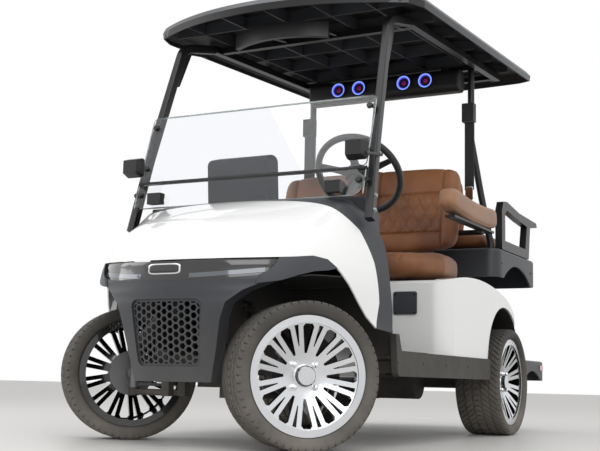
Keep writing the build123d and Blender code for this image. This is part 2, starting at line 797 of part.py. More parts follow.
with BuildPart() as charge_port:
    port_face = Plane(origin=(port_centre[0], behind(seat_front), port_centre[1]),
                      x_dir=(1, 0, 0), z_dir=(0, -1, 0))
    with BuildSketch(port_face) as port_outline:
        RectangleRounded(*port_size, 10)
    extrude(port_outline.sketch, amount=7)
    fillet(charge_port.faces().sort_by(Axis.Y)[0].edges(), 2)
finish(charge_port, "charge_port")

# ---------------------------------------------------------------- seats
back_foot = (1300, 830)
lean = radians(back_lean)
back_plane = Plane(origin=(0, behind(back_foot[0]), back_foot[1]), x_dir=(1, 0, 0),
                   z_dir=(0, -cos(lean), sin(lean)))
arm_across = 553
arm_width = 82
arm_route = ((905, 994), (1130, 974), (1520, 984))
arm_thickness = 92
bracket_radius = 12
rear_back_foot = (1556, 905)
rear_back_height = 300
rear_back_half = 400



def behind_back(height):
    """How far behind the axle a bar lies that touches the seat back's rear face at this height."""
    return (back_foot[0] + (height - back_foot[1]) * sin(lean) / cos(lean)
            + (back_thickness + bracket_radius) / cos(lean) + running_gap)


with BuildPart() as seat_frame:
    block((-cushion_half_width, cushion_half_width), (seat_front + 22, seat_rear + 16),
          (seat_deck_top - seat_plate, seat_deck_top))
    for side in (-1, 1):
        tube([(side * 300, seat_rear + 4, seat_deck_top - seat_plate / 2),
              (side * 300, behind_back(768), 768), (side * 300, behind_back(1140), 1140)],
             bracket_radius, 60)
        tube([(side * 300, behind_back(915), 915), (side * 470, behind_back(915) + 14, 915),
              (side * arm_across, 1400, 910)], bracket_radius, 40)
        block(sorted((side * (arm_across - 22), side * (arm_across + 22))), (960, 1500), (915, 925))
    rod((-300, behind_back(915), 915), (300, behind_back(915), 915), bracket_radius)
    rod((-300, behind_back(1110), 1110), (300, behind_back(1110), 1110), bracket_radius)
finish(seat_frame, "seat_frame")

with BuildPart() as seat_back:
    with BuildSketch(back_plane) as back_face:
        with Locations((0, back_height / 2)):
            RectangleRounded(2 * back_half_width, back_height, 70)
    extrude(back_face.sketch, amount=-back_thickness)
    fillet(seat_back.edges().group_by(Axis.Y)[0], 22)
    fillet(seat_back.edges().group_by(Axis.Y)[-1], 10)
finish(seat_back, "seat_back")

with BuildPart() as armrest_pads:
    for side in (-1, 1):
        with BuildSketch(Plane.YZ.offset(side * arm_across - arm_width / 2)) as arm_side:
            with BuildLine():
                top = ThreePointArc(*[(behind(y), z + arm_thickness / 2) for y, z in arm_route])
                foot = ThreePointArc(*[(behind(y), z - arm_thickness / 2) for y, z in reversed(arm_route)])
                Line(top @ 1, foot @ 0)
                Line(foot @ 1, top @ 0)
            make_face()
            fillet(arm_side.vertices(), 30)
        extrude(arm_side.sketch, amount=arm_width)
    fillet(armrest_pads.edges().filter_by(GeomType.CIRCLE).filter_by_position(
        Axis.Z, 960, 1100), 12)
finish(armrest_pads, "armrest_pads")

cushion_corner = 110
cushion_gap = 2
cushion_rear = seat_rear - 6

with BuildPart() as seat_cushion:
    with BuildSketch(Plane.XY.offset(seat_deck_top + cushion_gap)) as cushion_plan:
        with BuildLine():
            Polyline((-cushion_half_width, behind(cushion_rear)), (cushion_half_width, behind(cushion_rear)),
                     (cushion_half_width, behind(1040)), (420, behind(seat_front - 26)),
                     (-420, behind(seat_front - 26)), (-cushion_half_width, behind(1040)), close=True)
        make_face()
        fillet(cushion_plan.vertices().group_by(Axis.Y)[0], cushion_corner)
        fillet(cushion_plan.vertices().group_by(Axis.Y)[-1], 30)
    extrude(cushion_plan.sketch, amount=cushion_height)
    fillet(seat_cushion.faces().sort_by(Axis.Z)[-1].edges(), 28)
finish(seat_cushion, "seat_cushion")

flip_plate = 10
flip_rear = 2262
flip_front = 1735
flip_half_width = 455
flip_hinge = (2290, 881)
flip_tongue = (300, 360)
flip_barrel_radius = 10
flip_pin_radius = 5
flip_pin_fit = 0.05
rear_cushion_height = 92

with BuildPart() as flip_seat_plate:
    block((-flip_half_width - 20, flip_half_width + 20), (flip_front - 12, flip_rear),
          (deck_top + 1, deck_top + 1 + flip_plate))
    for side in (-1, 1):
        near, far = side * flip_tongue[0], side * flip_tongue[1]
        block(sorted((near, far)), (flip_rear - 1, flip_hinge[0]), (deck_top + 1, deck_top + 1 + flip_plate))
        rod((near, *flip_hinge), (far, *flip_hinge), flip_barrel_radius)
        rod((near, *flip_hinge), (far, *flip_hinge), flip_pin_radius + flip_pin_fit, mode=Mode.SUBTRACT)
finish(flip_seat_plate, "flip_seat_plate")

with BuildPart() as rear_cushion:
    with BuildSketch(Plane.XY.offset(deck_top + 1 + flip_plate + running_gap)) as rear_plan:
        with Locations((0, behind((flip_front + flip_rear - 20) / 2))):
            RectangleRounded(2 * flip_half_width, flip_rear - 20 - flip_front, 60)
    extrude(rear_plan.sketch, amount=rear_cushion_height)
    fillet(rear_cushion.faces().sort_by(Axis.Z)[-1].edges(), 22)
finish(rear_cushion, "rear_cushion")

with BuildPart() as rear_seat_back:
    rear_back_plane = Plane(origin=(0, behind(rear_back_foot[0]), rear_back_foot[1]), x_dir=(-1, 0, 0),
                            z_dir=(0, 1, 0.09))
    with BuildSketch(rear_back_plane) as rear_face:
        with Locations((0, rear_back_height / 2)):
            RectangleRounded(2 * rear_back_half, rear_back_height, 50)
    extrude(rear_face.sketch, amount=70)
    fillet(rear_seat_back.edges().group_by(Axis.Y)[-1], 18)
    for side in (-1, 1):
        rod((side * 300, 1566, 1000), (side * 300, behind_back(1000) + bracket_radius + 2, 1000), 11)
finish(rear_seat_back, "rear_seat_back")

# ---------------------------------------------------------------- rear deck, arms and footboard
deck_wall = 8
skirt_arch = 74

with BuildPart() as rear_deck:
    with BuildSketch(Plane.XY.offset(deck_top - deck_skirt)) as deck_plan:
        with Locations((0, behind((deck_front + deck_rear) / 2))):
            RectangleRounded(2 * deck_half_width, deck_rear - deck_front, 60)
    extrude(deck_plan.sketch, amount=deck_skirt)
    fillet(rear_deck.faces().sort_by(Axis.Z)[-1].edges(), 14)
    with BuildSketch(Plane.XY.offset(deck_top - deck_skirt)) as deck_core:
        with Locations((0, behind((deck_front + deck_rear) / 2))):
            RectangleRounded(2 * (deck_half_width - deck_wall), deck_rear - deck_front - 2 * deck_wall, 52)
    extrude(deck_core.sketch, amount=deck_skirt - deck_shell, mode=Mode.SUBTRACT)
    with BuildSketch(Plane.YZ) as skirt_cut:
        with BuildLine():
            arch = ThreePointArc((behind(deck_front + 90), deck_top - deck_skirt - 1),
                                 (behind((deck_front + deck_rear) / 2), deck_top - deck_skirt + skirt_arch),
                                 (behind(deck_rear - 110), deck_top - deck_skirt - 1))
            Line(arch @ 1, arch @ 0)
        make_face()
    extrude(skirt_cut.sketch, amount=deck_half_width + 10, both=True, mode=Mode.SUBTRACT)
    for side in (-1, 1):
        for across in (flip_tongue[0] - 10, flip_tongue[1] + 2):
            block(sorted((side * across, side * (across + 8))),
                  (flip_hinge[0] - 12, flip_hinge[0] + 12), (deck_top - 12, flip_hinge[1] + 11))
        rod((side * (flip_tongue[0] - 10), *flip_hinge), (side * (flip_tongue[1] + 10), *flip_hinge),
            flip_pin_radius)
finish(rear_deck, "rear_deck")

arm_frame_across = 530
arm_frame_wall = 34
arm_frame_outline = [(1716, deck_top), (1716, 1060), (1742, 1104), (1800, 1112), (2010, 1086), (2330, 1078),
                     (2340, 1056), (2210, 1046), (2180, deck_top)]
arm_frame_window = [(1768, 916), (1768, 1050), (1800, 1068), (2010, 1046), (2150, 1036), (2118, 916)]

with BuildPart() as rear_arms:
    for side in (-1, 1):
        with BuildSketch(Plane.YZ.offset(side * arm_frame_across - arm_frame_wall / 2)) as arm_frame_side:
            with BuildLine():
                Polyline(*[(behind(y), z) for y, z in arm_frame_outline], close=True)
            make_face()
            fillet(arm_frame_side.vertices().group_by(Axis.Y)[0], 8)
            with BuildLine():
                Polyline(*[(behind(y), z) for y, z in arm_frame_window], close=True)
            make_face(mode=Mode.SUBTRACT)
        extrude(arm_frame_side.sketch, amount=arm_frame_wall)
finish(rear_arms, "rear_arms")

step_rear = rear_reach
step_wall = 8

with BuildPart() as footboard:
    with BuildSketch(Plane.XY.offset(step_top - step_skirt)) as step_plan:
        with Locations((0, behind((step_front + step_rear) / 2))):
            RectangleRounded(2 * step_half_width, step_rear - step_front, 45)
    extrude(step_plan.sketch, amount=step_skirt)
    fillet(footboard.faces().sort_by(Axis.Z)[-1].edges(), 12)
    with BuildSketch(Plane.XY.offset(step_top - step_skirt)) as step_core:
        with Locations((0, behind((step_front + step_rear) / 2))):
            RectangleRounded(2 * (step_half_width - step_wall), step_rear - step_front - 2 * step_wall, 38)
    extrude(step_core.sketch, amount=rail_top - step_top + step_skirt, mode=Mode.SUBTRACT)
    block((-rail_outer - 30, rail_outer + 30), (step_front - 10, step_front + 20), (200, rail_top),
          mode=Mode.SUBTRACT)
    with BuildSketch(Plane.YZ) as step_cut:
        with BuildLine():
            sweep_arch = ThreePointArc((behind(step_front + 40), step_top - step_skirt - 1),
                                       (behind((step_front + step_rear) / 2), step_top - 52),
                                       (behind(step_rear - 70), step_top - step_skirt - 1))
            Line(sweep_arch @ 1, sweep_arch @ 0)
        make_face()
    extrude(step_cut.sketch, amount=step_half_width + 10, both=True, mode=Mode.SUBTRACT)
finish(footboard, "footboard")

lamp_size = (96, 44)
with BuildPart() as rear_lamps:
    for side in (-1, 1):
        tail_face = Plane(origin=(side * 440, behind(deck_rear), deck_top - 62), x_dir=(-1, 0, 0), z_dir=(0, 1, 0))
        with BuildSketch(tail_face) as lamp_outline:
            RectangleRounded(*lamp_size, 18)
        extrude(lamp_outline.sketch, amount=9)
        side_face = Plane(origin=(side * step_half_width, behind(step_rear - 72), step_top - 34),
                          x_dir=(0, 1, 0), z_dir=(side, 0, 0))
        with BuildSketch(side_face) as reflector_outline:
            RectangleRounded(58, 26, 6)
        extrude(reflector_outline.sketch, amount=4)
finish(rear_lamps, "rear_lamps")

# ---------------------------------------------------------------- battery pack
with BuildPart() as battery_pack:
    block((-330, 330), (975, 1225), (rail_top, rail_top + 250))
    fillet(battery_pack.edges().filter_by(Axis.Z), 12)
    for side in (-1, 1):
        for place in seat_posts:
            centre = side * rail_offset
            block((centre - post_size / 2 - 6, centre + post_size / 2 + 6),
                  (place - post_size / 2 - 6, place + post_size / 2 + 6), (rail_top - 1, 700),
                  mode=Mode.SUBTRACT)
finish(battery_pack, "battery_pack")

# ---------------------------------------------------------------- rear axle, motor and springs
axle_tube_radius = 34
spindle_radius = 17
spindle_fit = 0.05
drum_radius = 92
spring_across = 300
spring_front = 1395
spring_rear = 1945
spring_width = 45
leaf_thickness = 7

with BuildPart() as rear_axle:
    for side in (-1, 1):
        rod((0, wheelbase, tyre_radius), (side * (rear_wheel_offset - 62), wheelbase, tyre_radius),
            axle_tube_radius)
        rod((side * (rear_wheel_offset - 62), wheelbase, tyre_radius),
            (side * (rear_wheel_offset + 14), wheelbase, tyre_radius), spindle_radius)
        rod((side * (rear_wheel_offset - 78), wheelbase, tyre_radius),
            (side * (rear_wheel_offset - 50), wheelbase, tyre_radius), drum_radius)
        for leaf, reach in enumerate((1, 0.72, 0.46)):
            half = (spring_rear - spring_front) / 2 * reach
            middle = (spring_front + spring_rear) / 2
            level = tyre_radius + axle_tube_radius - 3 - leaf * leaf_thickness
            sag = 38 * reach ** 2
            with BuildSketch(Plane.YZ.offset(side * spring_across - spring_width / 2)) as leaf_side:
                with BuildLine():
                    under = ThreePointArc((behind(middle - half), level + sag), (behind(middle), level),
                                          (behind(middle + half), level + sag))
                    over = ThreePointArc((behind(middle + half), level + sag + leaf_thickness),
                                         (behind(middle), level + leaf_thickness),
                                         (behind(middle - half), level + sag + leaf_thickness))
                    Line(under @ 1, over @ 0)
                    Line(over @ 1, under @ 0)
                make_face()
            extrude(leaf_side.sketch, amount=spring_width)
        for place in (spring_front, spring_rear):
            near, far = sorted((side * (rail_outer), side * (spring_across + 26)))
            block((near, far), (place - 18, place + 18), (rail_top - 16, rail_top - 4))
        rod((side * 236, wheelbase + 60, tyre_radius + 20), (side * 236, wheelbase + 120, 560), 22)
        rod((side * 236, wheelbase + 120, 560), (side * (rail_offset + post_size / 2), wheelbase + 120, 560), 8)
        rod((side * 236, wheelbase, tyre_radius + 20), (side * 236, wheelbase + 70, tyre_radius + 20), 9)
    with Locations((-70, behind(wheelbase - 20), tyre_radius)):
        Sphere(92)
    rod((-70, wheelbase - 120, tyre_radius - 10), (190, wheelbase - 120, tyre_radius - 10), 78)
finish(rear_axle, "rear_axle")

# ---------------------------------------------------------------- front suspension and steering
arm_level = 176
kingpin_bottom = 168
kingpin_top = 330
knuckle_bottom = 191
tower_top = 520
rack_place = 222
steering_arm = 90
arm_eye = (steering_arm * sin(steer), steering_arm * cos(steer))
rack_radius = 8
rack_gap = 0.4

with BuildPart() as front_suspension:
    for side in (-1, 1):
        for place in (-75, 28):
            rod((side * (rail_offset - 6), place, arm_level), (side * kingpin_offset, 0, arm_level), 11)
            block(sorted((side * (rail_offset - 16), side * (rail_offset + 16))), (place - 16, place + 16),
                  (arm_level - 12, rail_bottom))
        rod((side * kingpin_offset, 0, kingpin_bottom - 6), (side * kingpin_offset, 0, knuckle_bottom - running_gap), 20)
        rod((side * kingpin_offset, 0, kingpin_top - 5 + running_gap), (side * kingpin_offset, 0, kingpin_top + 18), 18)
        rod((side * kingpin_offset, 0, kingpin_top + 10), (side * 190, 0, 470), 20)
        rod((side * rail_offset, 0, 470), (side * 200, 0, 470), 9)
        block(sorted((side * (rail_offset - 18), side * (rail_offset + 18))), (-20, 20), (rail_top, 492))
    block((-70, 70), (arm_eye[1] - 24, arm_eye[1] + 24), (rack_place - 24, rail_bottom))
    block((-rail_inner, rail_inner), (arm_eye[1] - 20, arm_eye[1] + 20), (rail_bottom, rail_bottom + 20))
    rod((-71, arm_eye[1], rack_place), (71, arm_eye[1], rack_place), rack_radius + rack_gap,
        mode=Mode.SUBTRACT)
finish(front_suspension, "front_suspension")

with BuildPart() as tie_rod:
    ends = [(side * kingpin_offset + arm_eye[0], arm_eye[1], rack_place) for side in (-1, 1)]
    rod(ends[0], ends[1], rack_radius)
    with BuildSketch(Plane.XY.offset(rack_place - 12)) as eyes:
        with Locations(*[(x, behind(y)) for x, y, z in ends]):
            Circle(13)
    extrude(eyes.sketch, amount=21)
finish(tie_rod, "tie_rod")


def wheel_plane(side, knuckle):
    """A wheel's plane at rest: its z points outboard along the axle, its x rearward."""
    if not knuckle:
        return Plane(origin=(side * rear_wheel_offset, behind(wheelbase), tyre_radius),
                     x_dir=(0, 1, 0), z_dir=(side, 0, 0))
    outboard = Vector(side * cos(steer), -side * sin(steer), 0)
    hub = Vector(side * kingpin_offset, behind(0), tyre_radius) + outboard * kingpin_to_wheel
    return Plane(origin=hub, x_dir=Vector(0, 0, 1).cross(outboard) * side, z_dir=outboard)


for side, name in ((1, "left"), (-1, "right")):
    with BuildPart() as knuckle:
        hub_plane = wheel_plane(side, knuckle=True)
        with BuildSketch(Plane(origin=(side * kingpin_offset, behind(0), knuckle_bottom))) as upright:
            Circle(19)
        extrude(upright.sketch, amount=kingpin_top - 5 - knuckle_bottom)
        with BuildSketch(hub_plane.offset(-kingpin_to_wheel)) as stub:
            Circle(spindle_radius + 7)
        extrude(stub.sketch, amount=kingpin_to_wheel - 66)
        with BuildSketch(hub_plane.offset(-66)) as backplate:
            Circle(drum_radius - 10)
        extrude(backplate.sketch, amount=16)
        with BuildSketch(hub_plane.offset(-50)) as spindle:
            Circle(spindle_radius)
        extrude(spindle.sketch, amount=64)
        eye = (side * kingpin_offset + arm_eye[0], behind(arm_eye[1]))
        with BuildSketch(Plane.XY.offset(197)) as steering_arm_plan:
            with Locations(eye):
                Circle(13)
            with BuildLine():
                Polyline((side * kingpin_offset + 10, behind(-12)), (side * kingpin_offset - 12, behind(10)),
                         (eye[0] - 8, eye[1] + 8), (eye[0] + 8, eye[1] - 8), close=True)
            make_face()
        extrude(steering_arm_plan.sketch, amount=11)
    finish(knuckle, f"knuckle_{name}")

# ---------------------------------------------------------------- wheels
hub_inner = -28
hub_outer = 14
hub_radius = 46

with BuildPart() as tyre:
    with BuildSketch(Plane.XZ) as tyre_section:
        with BuildLine():
            Polyline((rim_width / 2 - 6, bead_radius), (rim_width / 2 - 6, flange_radius + 3),
                     (tyre_width / 2 - 4, flange_radius + 11), (tyre_width / 2, tyre_radius - 22),
                     (tyre_width / 2 - 5, tyre_radius - 8), (tyre_width / 2 - 20, tyre_radius),
                     (20 - tyre_width / 2, tyre_radius), (5 - tyre_width / 2, tyre_radius - 8),
                     (-tyre_width / 2, tyre_radius - 22), (4 - tyre_width / 2, flange_radius + 11),
                     (6 - rim_width / 2, flange_radius + 3), (6 - rim_width / 2, bead_radius), close=True)
        make_face()
        with BuildLine():
            Polyline((rim_width / 2 - 6 - tyre_wall, bead_radius - 1),
                     (rim_width / 2 - 6 - tyre_wall, flange_radius + 6),
                     (tyre_width / 2 - tyre_wall - 6, tyre_radius - tyre_wall),
                     (6 + tyre_wall - tyre_width / 2, tyre_radius - tyre_wall),
                     (6 + tyre_wall - rim_width / 2, flange_radius + 6),
                     (6 + tyre_wall - rim_width / 2, bead_radius - 1), close=True)
        make_face(mode=Mode.SUBTRACT)
    revolve(tyre_section.sketch, axis=Axis.X)

bead_seat = bead_radius - running_gap
spoke_hub_radius = 62
spoke_tip_radius = bead_seat - 3
window_corners = [(74, 4), (158, 19), (168, 12), (168, -12), (158, -19), (74, -4)]
slot_corners = [(98, 1.5), (167, 7), (167, -7), (98, -1.5)]

with BuildPart() as rim:
    with BuildSketch(Plane.XZ) as barrel_section:
        with BuildLine():
            Polyline((-rim_width / 2, flange_radius), (-rim_width / 2, bead_seat - rim_wall),
                     (rim_width / 2, bead_seat - rim_wall), (rim_width / 2, flange_radius),
                     (rim_width / 2 - 5.5, flange_radius), (rim_width / 2 - 5.5, bead_seat),
                     (5.5 - rim_width / 2, bead_seat), (5.5 - rim_width / 2, flange_radius), close=True)
        make_face()
    revolve(barrel_section.sketch, axis=Axis.X)
    with BuildSketch(Plane.XZ) as disc_section:
        with BuildLine():
            Polyline((hub_pad_offset, 0), (hub_pad_offset, spoke_hub_radius),
                     (rim_width / 2 - 26, spoke_tip_radius), (rim_width / 2 - 6, spoke_tip_radius),
                     (hub_pad_offset + 28, spoke_hub_radius - 4), (hub_pad_offset + 28, 0), close=True)
        make_face()
    revolve(disc_section.sketch, axis=Axis.X)
    with BuildSketch(Plane.YZ) as openings:
        with PolarLocations(0, spoke_count):
            Polygon(*window_corners, align=None)
        with PolarLocations(0, spoke_count, start_angle=180 / spoke_count):
            Polygon(*slot_corners, align=None)
    extrude(openings.sketch, amount=rim_width / 2, mode=Mode.SUBTRACT)
    with BuildSketch(Plane.YZ.offset(hub_inner)) as hub_end:
        Circle(hub_radius)
    extrude(hub_end.sketch, amount=hub_pad_offset - hub_inner)
    with BuildSketch(Plane.YZ.offset(hub_inner)) as spindle_bore:
        Circle(spindle_radius + spindle_fit)
    extrude(spindle_bore.sketch, amount=hub_outer + 1 - hub_inner, mode=Mode.SUBTRACT)
    with BuildSketch(Plane.YZ.offset(hub_pad_offset)) as lug_holes:
        with PolarLocations(lug_circle / 2, lug_count, start_angle=45):
            Circle(lug_hole_radius)
    extrude(lug_holes.sketch, amount=60, mode=Mode.SUBTRACT)
    with BuildSketch(Plane.YZ.offset(hub_pad_offset + 28)) as centre_cap:
        Circle(34)
    extrude(centre_cap.sketch, amount=22, taper=12)

for end, knuckle_end in (("front", True), ("rear", False)):
    for side, name in ((1, "left"), (-1, "right")):
        hub = wheel_plane(side, knuckle_end)
        spin_plane = Plane(origin=hub.origin, x_dir=hub.z_dir, z_dir=Vector(0, 0, 1))
        for master, kind in ((tyre, "tyre"), (rim, "rim")):
            with BuildPart() as wheel_piece:
                add(master.part.moved(spin_plane.location))
            finish(wheel_piece, f"{kind}_{end}_{name}")

# ---------------------------------------------------------------- steering wheel and column
with BuildPart() as steering_wheel:
    with BuildSketch(Plane(origin=steering_plane.origin, x_dir=(1, 0, 0), z_dir=-steering_plane.y_dir)) as rim_ring:
        with Locations((steering_wheel_radius, 0)):
            Ellipse(steering_rim_radius * 0.9, steering_rim_radius)
    revolve(rim_ring.sketch, axis=Axis(steering_plane.origin, wheel_up))
    with BuildSketch(steering_plane.offset(-34)) as boss:
        Circle(46)
    extrude(boss.sketch, amount=30, taper=-14)
    with BuildSketch(steering_plane.offset(-10)) as spokes:
        for turn, root, tip in ((200, 30, 19), (340, 30, 19), (270, 34, 24)):
            with PolarLocations(0, 1, start_angle=turn):
                Polygon((30, -root / 2), (steering_wheel_radius - 4, -tip / 2),
                        (steering_wheel_radius - 4, tip / 2), (30, root / 2), align=None)
    extrude(spokes.sketch, amount=10)
    with BuildSketch(steering_plane.offset(-34)) as pin_bore:
        Circle(column_pin_radius + spindle_fit)
    extrude(pin_bore.sketch, amount=20, mode=Mode.SUBTRACT)
finish(steering_wheel, "steering_wheel")

with BuildPart() as steering_column:
    with BuildSketch(steering_plane.offset(-36 - column_length)) as column_section:
        Circle(column_radius)
    extrude(column_section.sketch, amount=column_length)
    with BuildSketch(steering_plane.offset(-36)) as pin_section:
        Circle(column_pin_radius)
    extrude(pin_section.sketch, amount=20)
finish(steering_column, "steering_column")

# ---------------------------------------------------------------- pedals
with BuildPart() as pedals:
    for across, width, level in ((235, 92, 470), (362, 62, 455)):
        pedal_face = Plane(origin=(across, behind(412), level), x_dir=(1, 0, 0), z_dir=(0, 0.86, 0.5))
        with BuildSketch(pedal_face) as pad:
            RectangleRounded(width, 104, 12)
        extrude(pad.sketch, amount=9)
        rod((across, 412, level), (across, 326, level + 8), 8)
    add(floor_pan.part, mode=Mode.SUBTRACT)
finish(pedals, "pedals")

# ---------------------------------------------------------------- seat belts
with BuildPart() as seat_belts:
    for side in (-1, 1):
        block(sorted((side * 398, side * 456)), (1560, 1600.6), (1470, 1560))
        with BuildSketch(Plane(origin=(side * 430, behind(1579), 1470), x_dir=(1, 0, 0), z_dir=(0, 0, -1))) as web:
            Rectangle(46, 3)
        extrude(web.sketch, amount=330)
finish(seat_belts, "seat_belts")
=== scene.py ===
import json
import bmesh
import bpy
import numpy as np
from math import cos, pi, radians, sin
from mathutils import Matrix, Vector
from mathutils.bvhtree import BVHTree

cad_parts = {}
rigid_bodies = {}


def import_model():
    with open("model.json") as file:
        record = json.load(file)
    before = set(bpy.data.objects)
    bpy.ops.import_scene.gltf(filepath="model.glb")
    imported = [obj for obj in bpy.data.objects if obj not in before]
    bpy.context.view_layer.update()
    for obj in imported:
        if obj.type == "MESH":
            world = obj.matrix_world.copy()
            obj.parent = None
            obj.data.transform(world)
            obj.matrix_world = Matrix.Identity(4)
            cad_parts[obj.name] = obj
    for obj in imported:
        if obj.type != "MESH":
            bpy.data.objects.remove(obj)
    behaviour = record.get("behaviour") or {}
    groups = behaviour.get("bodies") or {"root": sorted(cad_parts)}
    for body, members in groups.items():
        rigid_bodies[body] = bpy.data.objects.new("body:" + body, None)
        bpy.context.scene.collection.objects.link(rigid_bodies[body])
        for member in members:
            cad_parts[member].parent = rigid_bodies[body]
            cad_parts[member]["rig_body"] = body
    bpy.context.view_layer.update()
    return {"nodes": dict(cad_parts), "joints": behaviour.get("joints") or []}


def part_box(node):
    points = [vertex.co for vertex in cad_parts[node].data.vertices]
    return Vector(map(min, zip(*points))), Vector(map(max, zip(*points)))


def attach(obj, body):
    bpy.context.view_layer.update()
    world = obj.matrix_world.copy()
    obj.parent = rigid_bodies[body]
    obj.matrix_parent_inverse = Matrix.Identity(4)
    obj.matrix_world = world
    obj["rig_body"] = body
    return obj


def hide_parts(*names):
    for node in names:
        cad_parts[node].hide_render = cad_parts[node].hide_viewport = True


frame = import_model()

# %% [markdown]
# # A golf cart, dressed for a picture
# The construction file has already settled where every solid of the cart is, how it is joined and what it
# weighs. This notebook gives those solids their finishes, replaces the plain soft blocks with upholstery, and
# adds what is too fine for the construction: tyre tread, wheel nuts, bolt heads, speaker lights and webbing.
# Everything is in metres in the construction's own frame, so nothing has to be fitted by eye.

FRONT_AXLE = -1.0565


def place(across, behind, up):
    """A point of the cart: across to its left, behind the front axle, and up from the ground."""
    return np.array((across, FRONT_AXLE + behind, up))


# %% [markdown]
# The camera stands low in front of the cart's left front wheel and looks slightly up, as a person kneeling
# with a short telephoto lens would. A turned frame is a matrix whose columns are the camera's right, its up
# and the way back from what it looks at.

# %% Camera
yaw, pitch, roll = radians(27.53), radians(8.193), radians(1.248)
ahead = Vector((-sin(yaw) * cos(pitch), cos(yaw) * cos(pitch), sin(pitch)))
level_right = Vector((cos(yaw), sin(yaw), 0))
level_up = level_right.cross(ahead)
right = cos(roll) * level_right + sin(roll) * level_up
upward = -sin(roll) * level_right + cos(roll) * level_up
lens = bpy.data.cameras.new("kneeling_view")
lens.lens, lens.sensor_width, lens.sensor_fit = 64.85, 36.0, "HORIZONTAL"
camera = bpy.data.objects.new("kneeling_view", lens)
turn = Matrix((right, upward, -ahead)).transposed()
camera.matrix_world = Matrix.Translation((2.054, -4.3235, 0.226)) @ turn.to_4x4()
bpy.context.scene.collection.objects.link(camera)
bpy.context.scene.camera = camera
bpy.context.scene.view_settings.view_transform = "Standard"
print("camera", [round(v, 3) for v in camera.location])

# %% [markdown]
# A showroom lights a white cart from a bright ceiling and pale walls, so most light comes from everywhere and
# two wide lamps give the soft gradient on the bonnet. The world is plain white where the camera, a mirror or
# a pane looks at it, and gentler where it lights the cart, so that white paint keeps its shape.

# %% Light and floor


def wide_lamp(name, spot, target, size, power):
    """A rectangular lamp at a spot, turned to face a target."""
    lamp = bpy.data.lights.new(name, "AREA")
    lamp.shape, lamp.size, lamp.size_y, lamp.energy = "RECTANGLE", size[0], size[1], power
    holder = bpy.data.objects.new(name, lamp)
    holder.location = spot
    holder.rotation_euler = (Vector(target) - Vector(spot)).to_track_quat("-Z", "Y").to_euler()
    bpy.context.scene.collection.objects.link(holder)


wide_lamp("ceiling", (0.3, -1.2, 4.4), (0.0, 0.0, 0.8), (5.0, 6.0), 122)
wide_lamp("front_wall", (3.4, -5.2, 2.9), (0.0, -0.4, 0.7), (3.5, 2.6), 72)
wide_lamp("left_wall", (-4.6, -2.6, 2.4), (0.0, -0.2, 0.7), (3.0, 2.6), 48)

world = bpy.data.worlds.new("pale_room")
bpy.context.scene.world = world
world.use_nodes = True
sky = world.node_tree
sky.nodes.clear()
rays = sky.nodes.new("ShaderNodeLightPath")
seen = sky.nodes.new("ShaderNodeMath")
seen.operation = "MAXIMUM"
seen_too = sky.nodes.new("ShaderNodeMath")
seen_too.operation = "MAXIMUM"
white_room = sky.nodes.new("ShaderNodeBackground")
white_room.inputs["Color"].default_value = (1, 1, 1, 1)
white_room.inputs["Strength"].default_value = 1.0
soft_room = sky.nodes.new("ShaderNodeBackground")
soft_room.inputs["Color"].default_value = (0.98, 0.99, 1, 1)
soft_room.inputs["Strength"].default_value = 0.68
either = sky.nodes.new("ShaderNodeMixShader")
sky_out = sky.nodes.new("ShaderNodeOutputWorld")
sky.links.new(rays.outputs["Is Camera Ray"], seen.inputs[0])
sky.links.new(rays.outputs["Is Glossy Ray"], seen.inputs[1])
sky.links.new(seen.outputs[0], seen_too.inputs[0])
sky.links.new(rays.outputs["Is Transmission Ray"], seen_too.inputs[1])
sky.links.new(seen_too.outputs[0], either.inputs[0])
sky.links.new(soft_room.outputs[0], either.inputs[1])
sky.links.new(white_room.outputs[0], either.inputs[2])
sky.links.new(either.outputs[0], sky_out.inputs[0])

floor_mesh = bpy.data.meshes.new("showroom_floor")
floor_mesh.from_pydata([(-30, -30, 0), (30, -30, 0), (30, 30, 0), (-30, 30, 0)], [], [(0, 1, 2, 3)])
showroom_floor = bpy.data.objects.new("showroom_floor", floor_mesh)
bpy.context.scene.collection.objects.link(showroom_floor)
floor_finish = bpy.data.materials.new("sealed_screed")
floor_finish.use_nodes = True
floor_finish.node_tree.nodes["Principled BSDF"].inputs["Base Color"].default_value = (0.60, 0.585, 0.565, 1)
floor_finish.node_tree.nodes["Principled BSDF"].inputs["Roughness"].default_value = 0.45
floor_mesh.materials.append(floor_finish)

# %% [markdown]
# New pieces are worked out as grids of points, the way a knitted sleeve is: one parameter runs along the
# piece and the other across it. A whole grid is one numpy array, and the faces between its rows and columns
# follow from counting. Points that fall together, at a pole or along a shared rim, are merged into a seam.

# %% Grids to meshes


def weave_faces(rows, columns, round_rows=False, round_columns=False):
    """The quads between neighbours of a rows x columns grid, joined round where asked."""
    row_starts = np.arange(rows - (not round_rows))
    column_starts = np.arange(columns - (not round_columns))
    r, c = np.meshgrid(row_starts, column_starts, indexing="ij")
    r2, c2 = (r + 1) % rows, (c + 1) % columns
    corners = [r * columns + c, r * columns + c2, r2 * columns + c2, r2 * columns + c]
    return np.stack(corners, -1).reshape(-1, 4)


